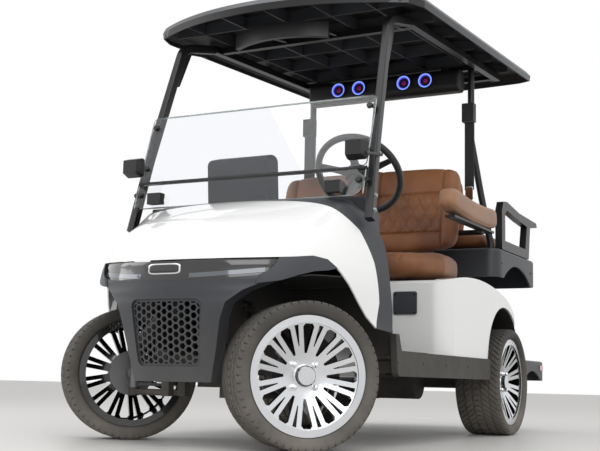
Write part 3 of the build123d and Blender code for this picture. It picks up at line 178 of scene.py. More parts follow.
def build(name, grids, finish, body, sharp=40, reach=None):
    """One piece from several (points, faces) grids: merged, turned outwards, shaded smooth up to an angle."""
    points = np.concatenate([np.asarray(p, float).reshape(-1, 3) for p, _ in grids])
    starts = np.cumsum([0] + [np.asarray(p).size // 3 for p, _ in grids[:-1]])
    faces = np.concatenate([f + s for (_, f), s in zip(grids, starts)])
    mesh = bpy.data.meshes.new(name)
    mesh.from_pydata(points.tolist(), [], faces.tolist())
    if reach is not None:
        kept = mesh.attributes.new("reach", "FLOAT", "POINT")
        kept.data.foreach_set("value", np.asarray(reach, float).ravel())
    work = bmesh.new()
    work.from_mesh(mesh)
    bmesh.ops.remove_doubles(work, verts=work.verts, dist=2e-5)
    bmesh.ops.recalc_face_normals(work, faces=work.faces)
    work.to_mesh(mesh)
    work.free()
    mesh.shade_smooth()
    mesh.set_sharp_from_angle(angle=radians(sharp))
    mesh.materials.append(finish)
    made = bpy.data.objects.new(name, mesh)
    bpy.context.scene.collection.objects.link(made)
    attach(made, body)
    print(name, len(mesh.polygons), "faces")
    return made


def turned(profile, centre, axis, steps=24, sides=None):
    """A lathe: each (along, radius) of the profile goes round the axis; sides=6 makes the ring a hexagon."""
    axis = np.asarray(axis, float) / np.linalg.norm(axis)
    helper = np.array((0.0, 0.0, 1.0)) if abs(axis[2]) < 0.9 else np.array((1.0, 0.0, 0.0))
    across = np.cross(helper, axis)
    across /= np.linalg.norm(across)
    other = np.cross(axis, across)
    profile = np.asarray(profile, float)
    angle = np.linspace(0, 2 * pi, steps, endpoint=False)[:, None]
    swell = 1 if sides is None else cos(pi / sides) / np.cos((angle % (2 * pi / sides)) - pi / sides)
    radius = profile[None, :, 1] * swell
    ring = radius[..., None] * (np.cos(angle)[..., None] * across + np.sin(angle)[..., None] * other)
    points = np.asarray(centre) + profile[None, :, 0, None] * axis + ring
    return points, weave_faces(steps, len(profile), True, False)


def carried(path, half_across, half_up, taper, power=2.6, steps=28, across=(1, 0, 0)):
    """A superellipse of that power carried along a path, scaled by the taper at each point."""
    path = np.asarray(path, float)
    along = np.gradient(path, axis=0)
    along /= np.linalg.norm(along, axis=1)[:, None]
    across = np.asarray(across, float)[None] - (along @ np.asarray(across, float))[:, None] * along
    across /= np.linalg.norm(across, axis=1)[:, None]
    up = np.cross(along, across)
    angle = np.linspace(0, 2 * pi, steps, endpoint=False)
    a = np.sign(np.cos(angle)) * np.abs(np.cos(angle)) ** (2 / power)
    b = np.sign(np.sin(angle)) * np.abs(np.sin(angle)) ** (2 / power)
    taper = np.asarray(taper, float)[:, None, None]
    sideways = half_across * a[None, :, None] * across[:, None]
    upwards = half_up * b[None, :, None] * up[:, None]
    points = path[:, None] + taper * (sideways + upwards)
    return points, weave_faces(len(path), steps, False, True)


print("helpers for grids are ready")

# %% [markdown]
# Small hardware has to sit on the part that carries it. A ray sent at a solid gives the exact point of its
# skin and the direction that the skin faces there, and a bolt head is then turned on that line.

# %% Skin of a solid


def skin(node, start, direction):
    """Where a ray from start first meets a solid, and which way its skin faces there; None when it misses."""
    mesh = frame["nodes"][node].data
    tree = BVHTree.FromPolygons([v.co for v in mesh.vertices], [p.vertices for p in mesh.polygons])
    spot, normal, _, _ = tree.ray_cast(Vector(start), Vector(direction))
    if spot is None:
        return None
    facing = normal if normal.dot(Vector(direction)) < 0 else -normal
    return np.array(spot), np.array(facing)


print("rays can be sent at", len(frame["nodes"]), "solids")

# %% [markdown]
# ## Shared effects
# Real finishes share a few effects: dust that settles low down, the pebbled skin of moulded plastic, the
# gentle orange peel of paint and the pores of leather. Each is a node group with named sockets, so a finish
# sets its own scale and strength. The groups put out only heights, masks and colours, and the shader itself
# stays in the material.

# %% Node groups


def add(tree, kind, inputs=None, **settings):
    """Add a node, fill the named inputs, and set its own options."""
    made = tree.nodes.new(kind)
    for key, value in settings.items():
        setattr(made, key, value)
    for key, value in (inputs or {}).items():
        made.inputs[key].default_value = value
    return made


def effect(name, inputs, outputs):
    """An empty shader node group with named inputs and outputs."""
    tree = bpy.data.node_groups.new(name, "ShaderNodeTree")
    for label, kind, value in inputs:
        tree.interface.new_socket(name=label, in_out="INPUT", socket_type=kind).default_value = value
    for label, kind in outputs:
        tree.interface.new_socket(name=label, in_out="OUTPUT", socket_type=kind)
    return tree, tree.nodes.new("NodeGroupInput"), tree.nodes.new("NodeGroupOutput")


FLOAT, COLOUR = "NodeSocketFloat", "NodeSocketColor"

pebble, pebble_in, pebble_out = effect("pebbled_plastic", [("Scale", FLOAT, 900.0)], [("Height", FLOAT)])
where = add(pebble, "ShaderNodeTexCoord")
cells = add(pebble, "ShaderNodeTexVoronoi", feature="SMOOTH_F1")
cloud = add(pebble, "ShaderNodeTexNoise", {"Scale": 60.0, "Detail": 3.0})
both = add(pebble, "ShaderNodeMath", operation="MULTIPLY_ADD")
both.inputs[1].default_value = 0.35
pebble.links.new(where.outputs["Object"], cells.inputs["Vector"])
pebble.links.new(where.outputs["Object"], cloud.inputs["Vector"])
pebble.links.new(pebble_in.outputs["Scale"], cells.inputs["Scale"])
pebble.links.new(cloud.outputs["Fac"], both.inputs[0])
pebble.links.new(cells.outputs["Distance"], both.inputs[2])
pebble.links.new(both.outputs[0], pebble_out.inputs["Height"])

peel, peel_in, peel_out = effect("orange_peel", [("Scale", FLOAT, 260.0)], [("Height", FLOAT)])
where = add(peel, "ShaderNodeTexCoord")
ripple = add(peel, "ShaderNodeTexNoise", {"Detail": 1.5, "Roughness": 0.4})
peel.links.new(where.outputs["Object"], ripple.inputs["Vector"])
peel.links.new(peel_in.outputs["Scale"], ripple.inputs["Scale"])
peel.links.new(ripple.outputs["Fac"], peel_out.inputs["Height"])

dust, dust_in, dust_out = effect(
    "road_dust",
    [("Color", COLOUR, (0.5, 0.5, 0.5, 1)), ("Dust", COLOUR, (0.42, 0.38, 0.33, 1)), ("Amount", FLOAT, 0.2),
     ("Reach", FLOAT, 0.5), ("Roughness", FLOAT, 0.4)],
    [("Color", COLOUR), ("Roughness", FLOAT)])
where = add(dust, "ShaderNodeTexCoord")
parts_of = add(dust, "ShaderNodeSeparateXYZ")
low = add(dust, "ShaderNodeMapRange", {"To Min": 1.0, "To Max": 0.0})
patch = add(dust, "ShaderNodeTexNoise", {"Scale": 7.0, "Detail": 6.0, "Roughness": 0.62})
settled = add(dust, "ShaderNodeMath", operation="MULTIPLY")
scaled = add(dust, "ShaderNodeMath", operation="MULTIPLY")
tint = add(dust, "ShaderNodeMix", data_type="RGBA")
rougher = add(dust, "ShaderNodeMath", operation="MULTIPLY_ADD", use_clamp=True)
rougher.inputs[1].default_value = 0.5
dust.links.new(where.outputs["Object"], parts_of.inputs[0])
dust.links.new(parts_of.outputs["Z"], low.inputs["Value"])
dust.links.new(dust_in.outputs["Reach"], low.inputs["From Max"])
dust.links.new(where.outputs["Object"], patch.inputs["Vector"])
dust.links.new(low.outputs[0], settled.inputs[0])
dust.links.new(patch.outputs["Fac"], settled.inputs[1])
dust.links.new(settled.outputs[0], scaled.inputs[0])
dust.links.new(dust_in.outputs["Amount"], scaled.inputs[1])
dust.links.new(scaled.outputs[0], tint.inputs[0])
dust.links.new(dust_in.outputs["Color"], tint.inputs[6])
dust.links.new(dust_in.outputs["Dust"], tint.inputs[7])
dust.links.new(scaled.outputs[0], rougher.inputs[0])
dust.links.new(dust_in.outputs["Roughness"], rougher.inputs[2])
dust.links.new(tint.outputs[2], dust_out.inputs["Color"])
dust.links.new(rougher.outputs[0], dust_out.inputs["Roughness"])

hide, hide_in, hide_out = effect(
    "leather_pores",
    [("Scale", FLOAT, 420.0), ("Light", COLOUR, (0.4, 0.2, 0.1, 1)), ("Dark", COLOUR, (0.2, 0.1, 0.05, 1))],
    [("Color", COLOUR), ("Height", FLOAT), ("Roughness", FLOAT)])
where = add(hide, "ShaderNodeTexCoord")
pores = add(hide, "ShaderNodeTexVoronoi", feature="DISTANCE_TO_EDGE")
folds = add(hide, "ShaderNodeTexNoise", {"Scale": 26.0, "Detail": 5.0, "Roughness": 0.55, "Distortion": 0.6})
stain = add(hide, "ShaderNodeTexNoise", {"Scale": 5.5, "Detail": 4.0})
pit = add(hide, "ShaderNodeMapRange", {"From Max": 0.22})
sum_up = add(hide, "ShaderNodeMath", operation="MULTIPLY_ADD")
sum_up.inputs[1].default_value = 0.9
shade = add(hide, "ShaderNodeMapRange", {"From Min": 0.3, "From Max": 0.7})
blend = add(hide, "ShaderNodeMix", data_type="RGBA")
worn = add(hide, "ShaderNodeMapRange", {"To Min": 0.36, "To Max": 0.52})
for texture in (pores, folds, stain):
    hide.links.new(where.outputs["Object"], texture.inputs["Vector"])
hide.links.new(hide_in.outputs["Scale"], pores.inputs["Scale"])
hide.links.new(pores.outputs["Distance"], pit.inputs["Value"])
hide.links.new(folds.outputs["Fac"], sum_up.inputs[0])
hide.links.new(pit.outputs[0], sum_up.inputs[2])
hide.links.new(stain.outputs["Fac"], shade.inputs["Value"])
hide.links.new(shade.outputs[0], blend.inputs[0])
hide.links.new(hide_in.outputs["Dark"], blend.inputs[6])
hide.links.new(hide_in.outputs["Light"], blend.inputs[7])
hide.links.new(stain.outputs["Fac"], worn.inputs["Value"])
hide.links.new(blend.outputs[2], hide_out.inputs["Color"])
hide.links.new(sum_up.outputs[0], hide_out.inputs["Height"])
hide.links.new(worn.outputs[0], hide_out.inputs["Roughness"])
print("effects", [g.name for g in bpy.data.node_groups])

# %% [markdown]
# ## Finishes
# Colours are written as the eye reads them on a screen, from 0 to 255, and changed to the linear values that
# light adds up in. Paint gets a clear coat, moulded parts a pebbled skin, and steel tube a powder coat whose
# peel is coarser. Dust gathers on everything near the road.

# %% Helpers for finishes


def seen_as(r, g, b):
    """Screen colour to linear: the value over 255, to the power 2.2."""
    return tuple((v / 255) ** 2.2 for v in (r, g, b)) + (1.0,)


def finish(name, colour, roughness, settings=None, skin_effect=None, scale=300.0, bump=0.1, depth=0.0006,
           dirt=0.0, reach=0.5):
    """A finish: one Principled shader, dust low down, and a bump from one of the shared effects."""
    made = bpy.data.materials.new(name)
    made.use_nodes = True
    tree = made.node_tree
    shader = tree.nodes["Principled BSDF"]
    for key, value in (settings or {}).items():
        shader.inputs[key].default_value = value
    shader.inputs["Base Color"].default_value = colour
    shader.inputs["Roughness"].default_value = roughness
    if dirt > 0:
        layer = add(tree, "ShaderNodeGroup", node_tree=dust)
        for key, value in (("Color", colour), ("Amount", dirt), ("Reach", reach), ("Roughness", roughness)):
            layer.inputs[key].default_value = value
        tree.links.new(layer.outputs["Color"], shader.inputs["Base Color"])
        tree.links.new(layer.outputs["Roughness"], shader.inputs["Roughness"])
    if skin_effect:
        relief = add(tree, "ShaderNodeGroup", node_tree=skin_effect)
        relief.inputs["Scale"].default_value = scale
        push = add(tree, "ShaderNodeBump", {"Strength": bump, "Distance": depth})
        edge = add(tree, "ShaderNodeBevel", {"Radius": 0.0016}, samples=4)
        tree.links.new(edge.outputs["Normal"], push.inputs["Normal"])
        tree.links.new(relief.outputs["Height"], push.inputs["Height"])
        tree.links.new(push.outputs["Normal"], shader.inputs["Normal"])
    return made


def leather(name, light, dark):
    """Upholstery hide: two shades that drift over the piece, pores and soft folds, and a faint sheen."""
    made = bpy.data.materials.new(name)
    made.use_nodes = True
    tree = made.node_tree
    shader = tree.nodes["Principled BSDF"]
    shader.inputs["Sheen Weight"].default_value = 0.12
    shader.inputs["Specular IOR Level"].default_value = 0.42
    grain = add(tree, "ShaderNodeGroup", node_tree=hide)
    grain.inputs["Light"].default_value = light
    grain.inputs["Dark"].default_value = dark
    push = add(tree, "ShaderNodeBump", {"Strength": 0.35, "Distance": 0.0012})
    tree.links.new(grain.outputs["Color"], shader.inputs["Base Color"])
    tree.links.new(grain.outputs["Roughness"], shader.inputs["Roughness"])
    tree.links.new(grain.outputs["Height"], push.inputs["Height"])
    tree.links.new(push.outputs["Normal"], shader.inputs["Normal"])
    return made


coat = {"Coat Weight": 1.0, "Coat Roughness": 0.03}
body_white = finish("body_white", seen_as(238, 238, 237), 0.34, coat, peel, 220, 0.03, 0.0004, 0.25, 0.45)
charcoal = finish("charcoal_moulding", seen_as(58, 60, 64), 0.46, None, pebble, 1000, 0.22, 0.0004, 0.3, 0.5)
band_black = finish("band_black", seen_as(16, 16, 18), 0.16, coat, peel, 200, 0.02, 0.0003)
under_black = finish("underbody_black", seen_as(24, 24, 25), 0.62, None, pebble, 500, 0.3, 0.0006, 0.5, 0.6)
powder_black = finish("powder_black", seen_as(28, 28, 30), 0.36, None, peel, 420, 0.12, 0.0005, 0.25, 0.4)
canopy_grey = finish("canopy_grey", seen_as(62, 64, 68), 0.34, None, pebble, 700, 0.12, 0.0004)
canopy_black = finish("canopy_underside", seen_as(27, 27, 28), 0.5, None, pebble, 700, 0.2, 0.0005)
tread_rubber = finish("tread_rubber", seen_as(44, 43, 42), 0.74, None, pebble, 300, 0.3, 0.0005, 0.75, 0.6)
plain_rubber = finish("moulded_rubber", seen_as(30, 30, 31), 0.66, None, pebble, 600, 0.25, 0.0005, 0.4, 0.5)
wheel_black = finish("wheel_black", seen_as(14, 14, 15), 0.2, coat, peel, 300, 0.03, 0.0003)
cast_grey = finish("cast_grey", seen_as(120, 122, 125), 0.48, {"Metallic": 0.85}, pebble, 350, 0.35, 0.0008,
                   0.35, 0.5)
zinc = finish("zinc_steel", seen_as(170, 172, 175), 0.32, {"Metallic": 1.0}, peel, 500, 0.08, 0.0003)
chrome = finish("bright_chrome", seen_as(232, 233, 235), 0.08, {"Metallic": 1.0})
mirror_glass = finish("mirror_glass", seen_as(225, 228, 230), 0.02, {"Metallic": 1.0})
lamp_lens = finish("lamp_lens", seen_as(92, 96, 102), 0.1, {**coat, "Metallic": 0.35})
red_lens = finish("red_lens", seen_as(168, 18, 16), 0.16, coat, peel, 700, 0.25, 0.0006)
clear_screen = finish("clear_screen", (0.93, 0.945, 0.97, 1.0), 0.015,
                      {"Transmission Weight": 1.0, "IOR": 1.42})
# painted highlight: this pale, half-clear finish stands in for the light that gathers in the panes' sawn
# edges
painted_edge_highlight = finish("painted_edge_highlight", seen_as(205, 214, 214), 0.22, {"Transmission Weight": 0.4, "IOR": 1.45})
saddle = leather("saddle_leather", seen_as(150, 98, 62), seen_as(104, 64, 40))
tan = leather("tan_leather", seen_as(165, 122, 92), seen_as(128, 88, 60))
grip_black = leather("grip_black", seen_as(40, 40, 41), seen_as(26, 26, 27))
print("finishes", len(bpy.data.materials))

# %% [markdown]
# Three finishes follow the surface itself. The wheel faces are cut on a lathe, so fine rings run round the
# axle: the distance from the axle is kept on the mesh as `reach`, and a sine of it gives the rings. The
# speaker lights use the same value to go from red in the middle to blue at the rim. Belt webbing is woven in
# ribs along its length.

# %% Finishes that follow a surface
machined = finish("machined_alloy", seen_as(214, 216, 219), 0.2, {"Metallic": 1.0})
tree = machined.node_tree
distance = add(tree, "ShaderNodeAttribute", attribute_name="reach")
rings = add(tree, "ShaderNodeMath", operation="MULTIPLY")
rings.inputs[1].default_value = 9000.0
wave = add(tree, "ShaderNodeMath", operation="SINE")
cut = add(tree, "ShaderNodeBump", {"Strength": 0.12, "Distance": 0.0002})
tree.links.new(distance.outputs["Fac"], rings.inputs[0])
tree.links.new(rings.outputs[0], wave.inputs[0])
tree.links.new(wave.outputs[0], cut.inputs["Height"])
tree.links.new(cut.outputs["Normal"], tree.nodes["Principled BSDF"].inputs["Normal"])

speaker_glow = finish("speaker_glow", seen_as(18, 14, 22), 0.4, {"Emission Strength": 1.3})
tree = speaker_glow.node_tree
distance = add(tree, "ShaderNodeAttribute", attribute_name="reach")
tints = add(tree, "ShaderNodeValToRGB")
tints.color_ramp.elements[0].color = (0.02, 0.0, 0.02, 1)
tints.color_ramp.elements[1].position = 1.0
tints.color_ramp.elements[1].color = (0.05, 0.10, 1.0, 1)
for spot, colour in ((0.22, (0.10, 0.0, 0.05, 1)), (0.36, (1.0, 0.03, 0.09, 1)), (0.52, (0.6, 0.02, 0.35, 1)),
                     (0.64, (0.03, 0.0, 0.10, 1)), (0.78, (0.10, 0.08, 0.9, 1)), (0.9, (0.25, 0.45, 1.0, 1))):
    tints.color_ramp.elements.new(spot).color = colour
tree.links.new(distance.outputs["Fac"], tints.inputs["Fac"])
tree.links.new(tints.outputs["Color"], tree.nodes["Principled BSDF"].inputs["Emission Color"])

webbing = finish("belt_webbing", seen_as(34, 34, 36), 0.8, {"Sheen Weight": 0.3})
tree = webbing.node_tree
where = add(tree, "ShaderNodeTexCoord")
ribs = add(tree, "ShaderNodeTexWave", {"Scale": 190.0, "Distortion": 0.6, "Detail": 1.0}, bands_direction="Z")
push = add(tree, "ShaderNodeBump", {"Strength": 0.5, "Distance": 0.0008})
tree.links.new(where.outputs["Object"], ribs.inputs["Vector"])
tree.links.new(ribs.outputs["Fac"], push.inputs["Height"])
tree.links.new(push.outputs["Normal"], tree.nodes["Principled BSDF"].inputs["Normal"])
print("finishes with surface patterns", machined.name, speaker_glow.name, webbing.name)

# %% [markdown]
# ## Rigid parts
# A solid comes from the construction as loose triangles. A merged copy lets light run smoothly over a curved
# panel and break only where the panel really has an edge. The copy keeps every point where it was, so it
# stands in for its solid exactly. Where one moulding has two finishes, each face picks its own by where it
# is and which way it faces.

# %% Smooth shells over the solids


def shell(node, finishes, angle=34, pick=None, centre=None):
    """A merged copy of a solid, smooth up to an angle; pick(centres, normals) gives each face's finish."""
    work = bmesh.new()
    work.from_mesh(frame["nodes"][node].data)
    bmesh.ops.remove_doubles(work, verts=work.verts, dist=1e-5)
    work.verts.index_update()
    points = np.array([v.co for v in work.verts])
    faces = [[v.index for v in f.verts] for f in work.faces]
    work.free()
    mesh = bpy.data.meshes.new(node + "_shell")
    mesh.from_pydata(points.tolist(), [], faces)
    for each in finishes:
        mesh.materials.append(each)
    if pick is not None:
        centres, normals = np.empty(len(faces) * 3), np.empty(len(faces) * 3)
        mesh.polygons.foreach_get("center", centres)
        mesh.polygons.foreach_get("normal", normals)
        chosen = pick(centres.reshape(-1, 3), normals.reshape(-1, 3)).astype(np.int32)
        mesh.polygons.foreach_set("material_index", chosen)
    if centre is not None:
        from_axle = np.linalg.norm(np.cross(points - centre[0], centre[1]), axis=1)
        mesh.attributes.new("reach", "FLOAT", "POINT").data.foreach_set("value", from_axle)
    mesh.shade_smooth()
    mesh.set_sharp_from_angle(angle=radians(angle))
    made = bpy.data.objects.new(node + "_shell", mesh)
    bpy.context.scene.collection.objects.link(made)
    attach(made, frame["nodes"][node]["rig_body"])
    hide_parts(node)
    return made


plain_finishes = {
    body_white: ["hood", "rear_body"],
    charcoal: ["cowl_trim", "front_fascia", "grille", "dash", "rear_deck", "footboard", "charge_port"],
    under_black: ["frame", "floor_pan", "sills", "wheel_liners", "battery_pack", "rear_axle",
                  "front_suspension"],
    powder_black: ["front_struts", "rear_struts", "roof_rails", "seat_frame", "flip_seat_plate", "rear_arms",
                   "screen_fittings", "steering_column"],
    canopy_black: ["sound_bar"],
    cast_grey: ["knuckle_left", "knuckle_right"],
    zinc: ["tie_rod"],
    plain_rubber: ["pedals"],
    band_black: ["light_band"],
    lamp_lens: ["headlamps"],
    red_lens: ["rear_lamps"],
    clear_screen: ["windscreen"],
    grip_black: ["steering_wheel"],
    webbing: ["seat_belts"],
}
for coating, nodes in plain_finishes.items():
    for node in nodes:
        shell(node, [coating])

shell("roof", [canopy_grey, canopy_black], 30, lambda centres, normals: normals[:, 2] < -0.15)
shell("mirrors", [powder_black, mirror_glass], 34, lambda centres, normals: normals[:, 1] > 0.93)

# %% [markdown]
# ## Wheels
# Each wheel's centre and axle come from its joint. The alloy's faces that look outwards along the axle were
# turned bright after painting, and everything behind them stayed gloss black.

# %% Alloy wheels
wheels = {}
for joint in frame["joints"]:
    if joint["child"].endswith("_wheel"):
        wheels[joint["child"]] = (np.array(joint["pos_m"]), np.array(joint["axis"], float))

for body, (hub, axle) in wheels.items():
    end, side, _ = body.split("_")

    def bright_face(centres, normals):
        """1 where a face looks out along the axle in front of the hub, as the cutter left it."""
        return ((normals @ axle > 0.8) & ((centres - hub) @ axle > 0.042)).astype(int)

    shell(f"rim_{end}_{side}", [wheel_black, machined], 30, bright_face, (hub, axle))
print("wheels", sorted(wheels))

# %% [markdown]
# A tyre is a closed section carried round the axle. To keep the slanted tread grooves crisp, the whole grid
# is sheared: its columns already run along the grooves, like the bias of a cloth, so a groove is simply a few
# columns with a smaller radius. Four straight grooves run round it, and the ribs between them are cut into
# blocks.

# %% Tyres
BLOCKS = 58
BLOCK_PHASES = np.array((0.0, 0.035, 0.17, 0.205, 0.36, 0.52, 0.68, 0.84))
GROOVES = (-0.056, -0.019, 0.019, 0.056)


def rounded(points, rounds=3):
    """Corner cutting: each run is replaced by its quarter points, which tends to a smooth curve."""
    points = np.asarray(points, float)
    for _ in range(rounds):
        before, after = points[:-1], points[1:]
        cut_points = np.stack([0.75 * before + 0.25 * after, 0.25 * before + 0.75 * after], 1)
        points = np.concatenate([points[:1], cut_points.reshape(-1, 2), points[-1:]])
    return points


def tyre_section():
    """(along the axle, radius, cut) round the section; cut is how far the slanted grooves go in there."""
    side = rounded([(0.0815, 0.1785), (0.0815, 0.197), (0.0965, 0.2), (0.1022, 0.214), (0.1025, 0.227),
                    (0.0985, 0.2375), (0.0905, 0.2415)], 3)
    edges = [-0.084]
    for groove in GROOVES:
        edges += [groove - 0.0042, groove - 0.003, groove + 0.003, groove + 0.0042]
    edges += [0.084]
    runs = [np.linspace(a, b, 4 if b - a > 0.01 else 2)[:-1] for a, b in zip(edges[:-1], edges[1:])]
    across = np.concatenate(runs + [[edges[-1]]])
    deep = np.min(np.abs(across[:, None] - np.array(GROOVES)[None]), axis=1) < 0.0032
    crown = 0.243 - 0.0012 * (across / 0.084) ** 2
    tread = np.stack([across, np.where(deep, crown - 0.0065, crown)], 1)
    outer = np.concatenate([side * (-1, 1), tread, side[::-1]])
    shoulder_cut = np.clip((outer[:, 1] - 0.222) * 0.28, 0, 0.005)
    cut_depth = np.where(np.abs(outer[:, 0]) < 0.0855, 0.0055, shoulder_cut)
    cut_depth = np.where((outer[:, 1] < 0.2372) & (np.abs(outer[:, 0]) < 0.085), 0.0, cut_depth)
    inner = np.array([(0.070, 0.1785), (0.070, 0.201), (0.085, 0.231),
                      (-0.085, 0.231), (-0.070, 0.201), (-0.070, 0.1785)])
    return np.concatenate([outer, inner]), np.concatenate([cut_depth, np.zeros(len(inner))])


section, cut_depth = tyre_section()
for body, (hub, axle) in wheels.items():
    end, side, _ = body.split("_")
    phase = (np.arange(BLOCKS)[:, None] + BLOCK_PHASES[None]).ravel() / BLOCKS * 2 * pi
    in_groove = np.tile((BLOCK_PHASES > 0.02) & (BLOCK_PHASES < 0.19), BLOCKS)
    shear = 1.9 * np.abs(np.clip(section[:, 0], -0.092, 0.092)) / 0.092 * (2 * pi / BLOCKS) * 1.6
    angle = phase[:, None] + shear[None]
    radius = section[None, :, 1] - in_groove[:, None] * cut_depth[None]
    forward = np.cross((0, 0, 1), axle)
    spokes = np.cos(angle)[..., None] * forward + np.sin(angle)[..., None] * np.array((0, 0, 1))
    points = hub + section[None, :, 0, None] * axle + radius[..., None] * spokes
    grid = (points, weave_faces(*points.shape[:2], True, True))
    tyre = build(f"tread_{end}_{side}", [grid], tread_rubber, body, 28)
    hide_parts(f"tyre_{end}_{side}")

# %% [markdown]
# Four acorn nuts hold each wheel, and a plain cap with a bright ring covers the hub's end. A nut is a
# hexagon turned on the lathe with a domed top, so it is the same profile helper as a bolt head.

# %% Nuts and caps
NUT = [(-0.004, 0.0), (-0.004, 0.0105), (0.001, 0.0105), (0.011, 0.0098), (0.0165, 0.0068), (0.019, 0.0)]
RING = [(0.0, 0.0335), (0.0, 0.0372), (0.0036, 0.0372), (0.0052, 0.0345), (0.0036, 0.0322), (0.0, 0.0322),
        (0.0, 0.0335)]
VALVE = [(0.0, 0.0), (0.0, 0.0042), (0.016, 0.0042), (0.018, 0.0032), (0.026, 0.0032), (0.027, 0.0)]
for body, (hub, axle) in wheels.items():
    forward = np.cross((0, 0, 1), axle)
    ring_at = [hub + 0.046 * axle + 0.0508 * (cos(a) * forward + sin(a) * np.array((0, 0, 1)))
               for a in np.radians((45, 135, 225, 315))]
    nuts = [turned(NUT, spot, axle, 24, 6) for spot in ring_at]
    build(f"lug_nuts_{body}", nuts, chrome, body, 30)
    build(f"cap_ring_{body}", [turned(RING, hub + 0.0462 * axle, axle, 48)], chrome, body, 50)
    valve_spot = hub + 0.060 * axle + 0.1655 * (cos(1.31) * forward + sin(1.31) * np.array((0, 0, 1)))
    stem = turned(VALVE, valve_spot - 0.01 * axle, axle, 12)
    build(f"valve_{body}", [stem], plain_rubber, body, 40)

# %% [markdown]
# ## Upholstery
# A stuffed panel is two sheets sewn round their rims. Over a square of parameters from -1 to 1, each sheet
# stands off the middle plane by a thickness that falls to nothing at the rim, steeply, so that the edge looks
# full. The parameters are spaced more closely near the rim, where the surface turns. Seams and quilting are
# grooves pressed into the sheet afterwards. Doing it with a formula keeps the sewn lines exactly where the
# upholsterer put them.

# %% Stuffed panels


def stuffed(half_width, half_height, half_depth, roll, crown, corner, count, relief=None, waist=None):
    """Two sheets over a, b in -1..1: depth = ((1-|a|^p)(1-|b|^q))^(1/2.6), the front one times a crown."""
    a, b = (np.linspace(-1, 1, n) for n in count)
    a, b = np.meshgrid(a * (1.45 - 0.45 * a ** 2), b * (1.45 - 0.45 * b ** 2), indexing="ij")
    x = half_width * a * (1 - corner / half_width * np.abs(b) ** 7)
    y = half_height * b * (1 - corner / half_height * np.abs(a) ** 7)
    if waist is not None:
        x = x * waist(y)
    fall = (1 - np.abs(a) ** (half_width / roll)) * (1 - np.abs(b) ** (half_height / roll))
    rim = np.clip(fall, 0, 1) ** (1 / 2.6)
    swell = 1 - crown + crown * (1 - a ** 2) * (1 - b ** 2)
    front = half_depth * rim * swell
    if relief is not None:
        front = front + relief(x, y) * np.minimum(1, 3 * rim) * (rim > 0.02)
    back = -half_depth * rim
    faces = weave_faces(*a.shape)
    return [(np.stack([x, y, front], -1), faces), (np.stack([x, y, back], -1), faces)]


def laid(grids, origin, across, up, out):
    """Put grids of (across, up, out) values into the cart's frame."""
    axes = np.array([across, up, out], float)
    return [(np.asarray(origin) + p @ axes, f) for p, f in grids]


def groove(distance, width, depth):
    """A sewn line: a rounded valley of that depth where the distance to the line is small."""
    return -depth * np.exp(-(distance / width) ** 2)


print("upholstery helpers are ready")

# %% [markdown]
# The bench back carries two seats. Each has a plain top roll, a quilted middle between two upright seams, and
# a plain lower part. Diamonds are two families of slanted lines: the puff between them is the product of two
# sines, flattened by a small power so that the valleys are narrow and the pillows full.

# %% Bench back
BACK_LEAN = radians(9)
back_up = np.array((0, sin(BACK_LEAN), cos(BACK_LEAN)))
back_out = np.array((0, -cos(BACK_LEAN), sin(BACK_LEAN)))
back_middle = place(0, 1.300, 0.830) + 0.200 * back_up - 0.045 * back_out


def back_relief(x, y):
    """Puffed diamonds in each seat's panel, grooves at its seams, and bolsters beside the seats."""
    seat = np.abs(np.abs(x) - 0.222)
    panel = 1 / (1 + np.exp((seat - 0.150) / 0.003))
    band = 1 / (1 + np.exp((np.abs(y + 0.026) - 0.086) / 0.003))
    p, q = x / 0.060 + (y + 0.026) / 0.108, x / 0.060 - (y + 0.026) / 0.108
    puff = (np.abs(np.sin(pi * p)) * np.abs(np.sin(pi * q))) ** 0.4
    cross_seams = groove(np.abs(y + 0.026) - 0.092, 0.006, 0.009) * (seat < 0.156)
    lines = groove(seat - 0.156, 0.006, 0.010) + cross_seams
    bolster = 0.012 * np.exp(-((seat - 0.19) / 0.03) ** 2)
    centre_seam = groove(x, 0.006, 0.010)
    return panel * band * 0.013 * (puff - 0.75) + lines + bolster + centre_seam


back_sheets = stuffed(0.450, 0.200, 0.046, 0.034, 0.16, 0.022, (260, 120), back_relief)
bench_back = build("bench_back_leather", laid(back_sheets, back_middle, (1, 0, 0), back_up, back_out),
                   saddle, "cart", 60)
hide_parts("seat_back")

# %% [markdown]
# The bench cushion is a deep box of foam. Its front corners are drawn in so that a driver can swing their
# legs out, its top is crowned, and bolsters stand up at the rear ends. A sewn line runs round the boxing.

# %% Bench cushion


def cushion_relief(x, y):
    """Two crowned seats with a seam between, seams at the bolsters, and bolsters that rise to the rear."""
    ends = np.clip((np.abs(x) - 0.375) / 0.06, 0, 1)
    rear = np.clip((y + 0.12) / 0.16, 0, 1)
    front_seam = groove(y + 0.135, 0.006, 0.007) * (np.abs(x) < 0.365)
    lines = groove(np.abs(x) - 0.365, 0.007, 0.010) + groove(x, 0.007, 0.009) + front_seam
    return 0.016 * ends * rear * (3 - 2 * ends) * ends + lines - 0.006


bench_cushion = build(
    "bench_cushion_leather",
    laid(stuffed(0.503, 0.219, 0.068, 0.040, 0.12, 0.030, (220, 110), cushion_relief,
                 waist=lambda y: np.interp(y, (-0.22, -0.02, 0.3), (0.86, 1.0, 1.0))),
         place(0, 1.064, 0.718), (1, 0, 0), (0, 1, 0), (0, 0, 1)), saddle, "bench_cushion", 60)
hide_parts("seat_cushion")

# %% Rear cushion and rear back


def rear_relief(x, y):
    """A seam down the middle and one each side of it."""
    return groove(x, 0.007, 0.008) + groove(np.abs(x) - 0.29, 0.007, 0.007)


